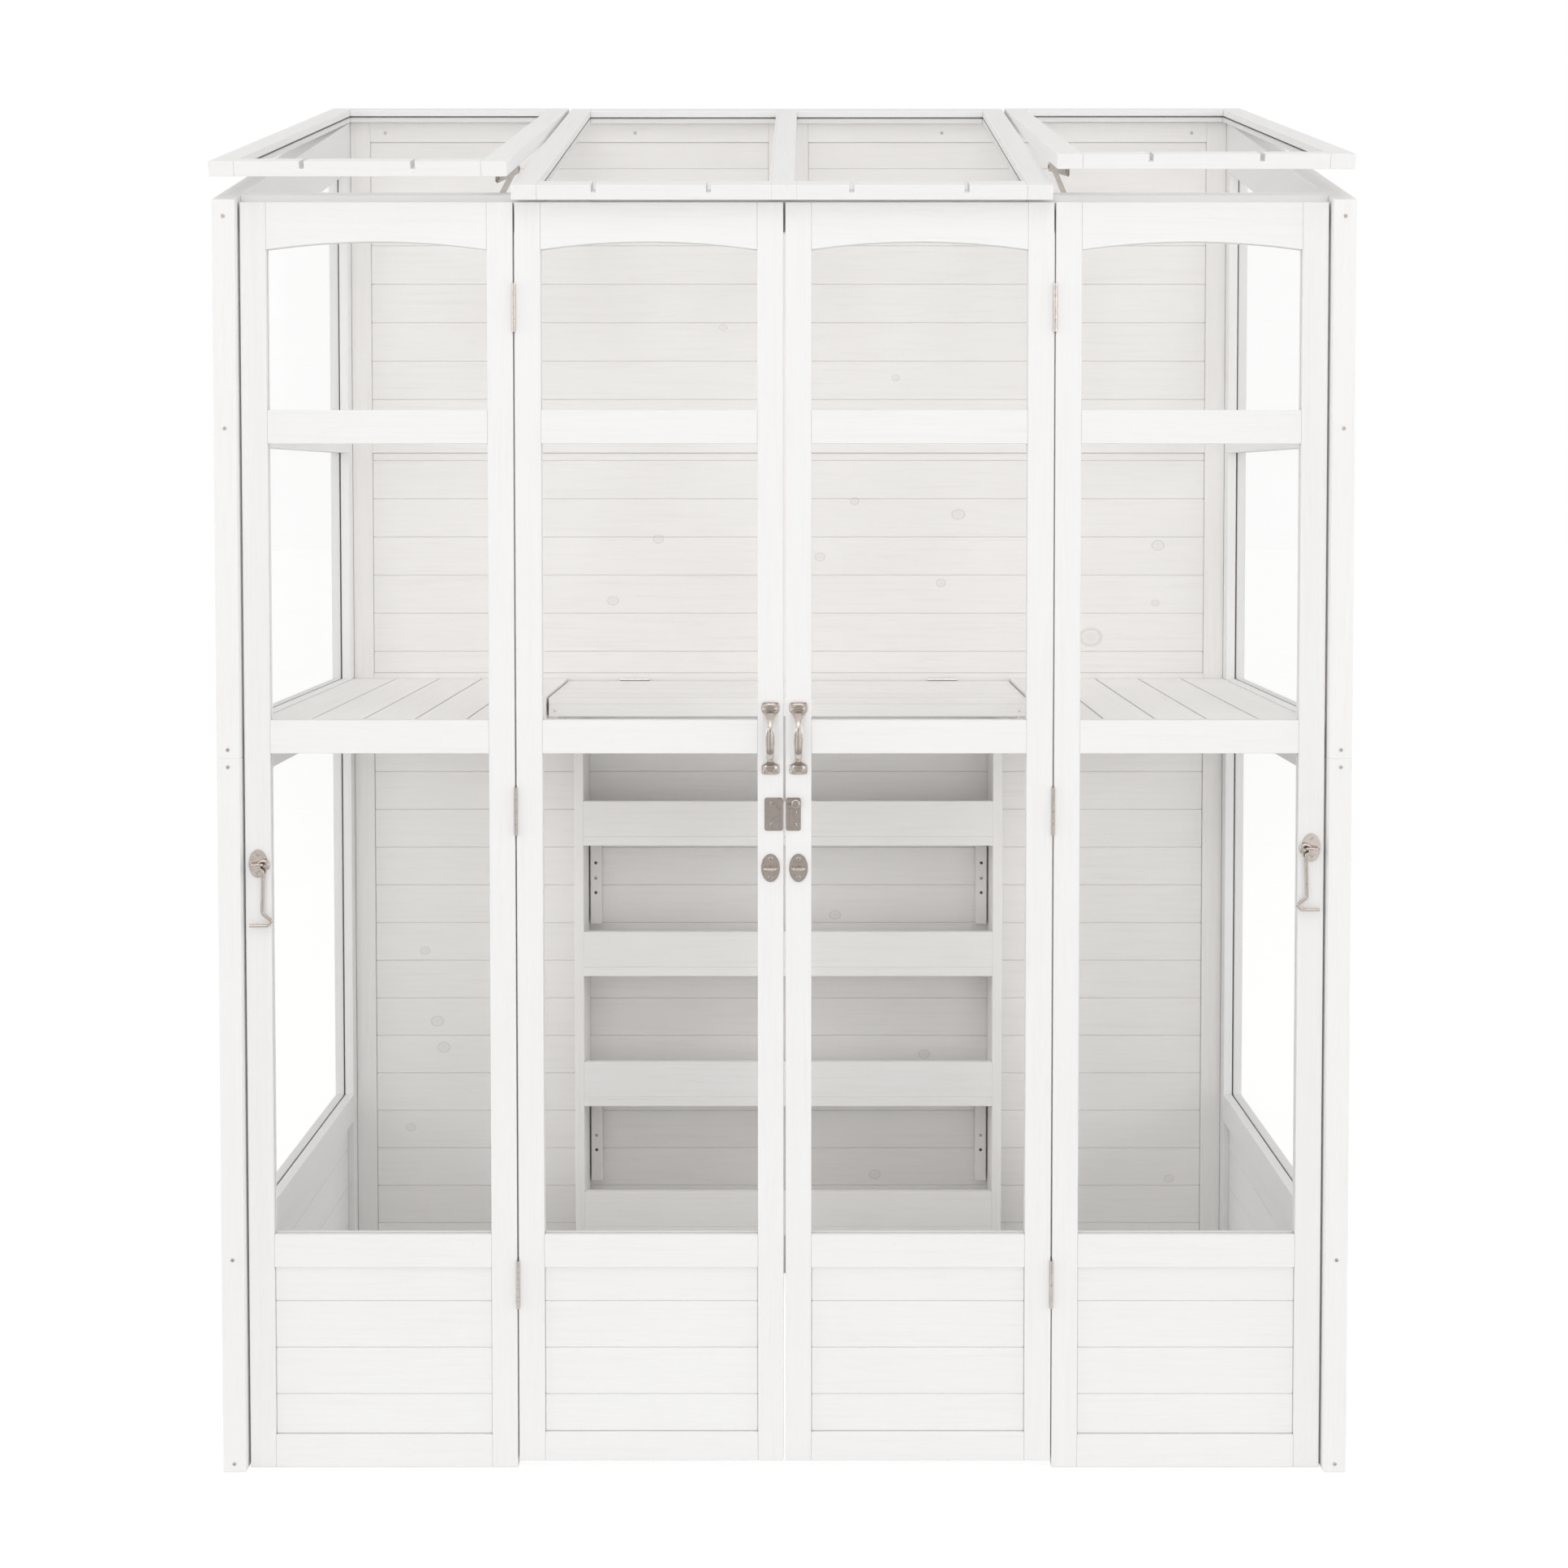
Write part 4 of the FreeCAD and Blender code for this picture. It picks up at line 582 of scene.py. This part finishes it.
def handle_grip(x):
    """Waisted bow that flares out of both feet, with three grooves down its middle."""
    rings = []
    for row in range(GRIP_ROWS + 1):
        share = row / GRIP_ROWS
        t = 1 - 2 * share
        width = between(GRIP_WIDTHS, share) / 2
        thick = between(GRIP_THICKNESS, share) / 2
        lean = math.atan2(4 * GRIP_REACH * t ** 3, GRIP_HALF)
        y = FRONT_Y - GRIP_ROOT - GRIP_REACH * (1 - t ** 4)
        grooved = (max(0.0, min(1.0, (share - GROOVED[0]) * GROOVE_FADE))
                   * max(0.0, min(1.0, (GROOVED[1] - share) * GROOVE_FADE)))
        ring = []
        for step in range(GRIP_POINTS):
            turn = 2 * math.pi * step / GRIP_POINTS
            across, out = math.cos(turn), math.sin(turn)
            if out > 0:
                dip = sum(math.exp(-((across - place) / GROOVE_WIDTH) ** 2) for place in GROOVES)
                out -= GROOVE_DEPTH * grooved * dip
            rise = out * thick
            ring.append((x + across * width, y - rise * math.cos(lean),
                         HANDLE_Z + GRIP_HALF * t + rise * math.sin(lean)))
        rings.append(ring)
    return loft(rings)


def make_handles(material):
    """Pull handles: a grip, two feet and four screws each."""
    for side, name in ((-1, "left"), (1, "right")):
        x = side * HANDLE_X
        shells = [handle_grip(x)]
        for end in (-1, 1):
            foot_z = HANDLE_Z + end * (HANDLE_HALF - FOOT_HALF_H)
            shells.append(handle_foot(x, foot_z))
            for edge in (-1, 1):
                shells.append(handle_screw(x + edge * HANDLE_SCREW_X, foot_z + end * HANDLE_SCREW_Z))
        piece(name + "_pull", shells, name + "_door", name + "_handle", material)


def hook_points(side, pivot_z):
    """Points of a hook's wire, in its own plane in front of the panels."""
    x, z = side * HOOK_X, pivot_z - HOOK_RING_DROP
    neck = (x, z - HOOK_RING_R)
    knee = (x + side * HOOK_LEAN, neck[1] - HOOK_SHAFT)
    kink = (knee[0] - side * HOOK_KINK, knee[1] - HOOK_KINK_DROP)
    bend = (kink[0] + side * HOOK_BEND_OUT, kink[1] - HOOK_BEND_DROP)
    tip = (bend[0] + side * HOOK_TIP, bend[1])
    points = []
    for step in range(RING_POINTS):
        turn = math.radians(RING_START + RING_STEP * step)
        points.append((x - side * HOOK_RING_R * RING_SWELL * math.cos(turn), HOOK_Y,
                       z + HOOK_RING_R * RING_SWELL * math.sin(turn)))
    corners = (neck, knee, kink, bend, tip)
    for before, corner, after in zip(corners, corners[1:], corners[2:]):
        for other, reach in ((before, HOOK_ROUND[0]), (corner, 0.0), (after, HOOK_ROUND[1])):
            away = math.dist(other, corner) or 1.0
            points.append((corner[0] + (other[0] - corner[0]) * reach / away, HOOK_Y,
                           corner[1] + (other[1] - corner[1]) * reach / away))
    points.append((tip[0], HOOK_Y, tip[1]))
    return points


def make_hooks(material):
    """Cabin hooks of bent wire: a ring on the staple, a shaft, a kink and a tip."""
    for side, name, pivot_z in HOOK_PIVOTS:
        points = hook_points(side, pivot_z)
        curve = bpy.data.curves.new(name + "_wire", "CURVE")
        curve.dimensions = "3D"
        spline = curve.splines.new("NURBS")
        spline.points.add(len(points) - 1)
        for point, place in zip(spline.points, points):
            point.co = (*place, 1.0)
        spline.order_u = 3
        spline.use_endpoint_u = True
        spline.resolution_u = 8
        curve.bevel_depth = HOOK_WIRE
        curve.bevel_resolution = 5
        curve.use_fill_caps = True
        curve.materials.append(material)
        wire = bpy.data.objects.new(name + "_wire_hook", curve)
        bpy.context.scene.collection.objects.link(wire)
        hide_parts(name + "_hook")
        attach(wire, name + "_cabin_hook")


def sheet(name, across, up, height=0.0):
    """Flat rectangle, square to its own Z."""
    mesh = bpy.data.meshes.new(name)
    mesh.from_pydata([(-across / 2, -up / 2, height), (across / 2, -up / 2, height),
                      (across / 2, up / 2, height), (-across / 2, up / 2, height)], [], [(0, 1, 2, 3)])
    made = bpy.data.objects.new(name, mesh)
    bpy.context.scene.collection.objects.link(made)
    return made


def stage_floor():
    """Pale floor that reads as white in the picture and keeps a soft shadow."""
    floor = sheet("floor", FLOOR_SIZE, FLOOR_SIZE, -FLOOR_DROP)
    shader = Shader("floor_white")
    shader.surface.inputs["Base Color"].default_value = FLOOR_PAINT
    shader.surface.inputs["Roughness"].default_value = 0.9
    glow = shader.add("ShaderNodeEmission", {"Color": (1, 1, 1, 1), "Strength": FLOOR_GLOW})
    path = shader.add("ShaderNodeLightPath")
    seen = shader.math("MAXIMUM", path.outputs["Is Camera Ray"], path.outputs["Is Glossy Ray"])
    seen = shader.math("MAXIMUM", seen, path.outputs["Is Transmission Ray"])
    share = shader.math("MULTIPLY", seen, FLOOR_SHARE)
    both = shader.add("ShaderNodeMixShader",
                      {0: share, 1: shader.surface.outputs[0], 2: glow.outputs[0]})
    shader.feed(shader.tree.nodes["Material Output"].inputs["Surface"], both.outputs[0])
    floor.data.materials.append(shader.material)


def aim_at(made, place, target):
    """Put an object at a place, so that its own Z points away from the target."""
    made.location = place
    made.rotation_euler = (Vector(target) - Vector(place)).to_track_quat("-Z", "Y").to_euler()


def card(name, place, target, size, level):
    """Dim board that only polished surfaces see, so that they show light and dark."""
    board = sheet(name, *size)
    aim_at(board, place, target)
    shader = Shader(name)
    glow = shader.add("ShaderNodeEmission", {"Color": (level, level * 0.97, level * 0.94, 1)})
    shader.feed(shader.tree.nodes["Material Output"].inputs["Surface"], glow.outputs[0])
    board.data.materials.append(shader.material)
    board.visible_camera = False
    board.visible_diffuse = False
    board.visible_shadow = False
    board.visible_transmission = False


def lamp(name, place, target, size, watts):
    """Rectangular lamp at a place, turned to the target."""
    data = bpy.data.lights.new(name, "AREA")
    data.shape = "RECTANGLE"
    data.size, data.size_y = size
    data.energy = watts
    light = bpy.data.objects.new(name, data)
    aim_at(light, place, target)
    bpy.context.scene.collection.objects.link(light)


def light_scene():
    """World that is white to the eye and a softer, warmer sky to surfaces, four cards and six lamps."""
    world = bpy.data.worlds.new("studio")
    bpy.context.scene.world = world
    world.use_nodes = True
    tree = world.node_tree
    path = tree.nodes.new("ShaderNodeLightPath")
    seen = tree.nodes.new("ShaderNodeMath")
    seen.operation = "MAXIMUM"
    tree.links.new(path.outputs["Is Camera Ray"], seen.inputs[0])
    tree.links.new(path.outputs["Is Glossy Ray"], seen.inputs[1])
    sky = tree.nodes["Background"]
    sky.inputs["Color"].default_value = WARM_SKY
    sky.inputs["Strength"].default_value = SKY_STRENGTH
    white = tree.nodes.new("ShaderNodeBackground")
    white.inputs["Color"].default_value = (1, 1, 1, 1)
    both = tree.nodes.new("ShaderNodeMixShader")
    tree.links.new(seen.outputs[0], both.inputs[0])
    tree.links.new(sky.outputs[0], both.inputs[1])
    tree.links.new(white.outputs[0], both.inputs[2])
    tree.links.new(both.outputs[0], tree.nodes["World Output"].inputs["Surface"])
    card("card_front", (0, -4.6, 1.35), (0, 0, 1.2), (3.4, 2.6), 0.42)
    card("card_ground", (0, -2.7, 0.003), (0, -2.7, 2.0), (3.0, 3.2), 0.5)
    card("card_left", (-4.2, -2.6, 1.3), (0, -0.3, 1.1), (1.2, 3.0), 0.05)
    card("card_right", (4.2, -2.6, 1.3), (0, -0.3, 1.1), (1.2, 3.0), 0.05)
    lamp("key", (-2.6, -8.6, 3.2), (0, 0, 1.0), (4.0, 3.0), 72)
    lamp("fill", (3.0, -8.4, 1.5), (0, 0, 0.9), (4.0, 3.0), 64)
    lamp("over", (0, -3.4, 5.4), (0, 0, 0.6), (4.0, 3.0), 44)
    lamp("top", (0, -0.8, 6.0), (0, 0, 1.0), (4.0, 4.0), 12)
    lamp("left", (-5.0, -0.9, 2.0), (0.5, 0.1, 0.5), (3.0, 2.0), 58)
    lamp("right", (5.0, -0.9, 2.0), (-0.5, 0.1, 0.5), (3.0, 2.0), 58)


def make_camera():
    """Camera at eye height, tilted a little; the shift puts the object where the photograph has it."""
    data = bpy.data.cameras.new("camera")
    camera = bpy.data.objects.new("camera", data)
    data.sensor_width = SENSOR_WIDTH
    data.lens = LENS_PX / IMAGE * data.sensor_width
    data.shift_x = (IMAGE / 2 - AXIS_PX[0]) / IMAGE
    data.shift_y = (AXIS_PX[1] - IMAGE / 2) / IMAGE
    camera.location = (CAMERA_X, FRONT_Y - CAMERA_DISTANCE, CAMERA_Z)
    camera.rotation_euler = (math.pi / 2 - CAMERA_TILT, 0, 0)
    bpy.context.scene.collection.objects.link(camera)
    bpy.context.scene.camera = camera


dress_timber()
nickel = dress_rest()
make_handles(nickel)
make_hooks(nickel)
stage_floor()
light_scene()
make_camera()
bpy.context.scene.view_settings.view_transform = "Standard"
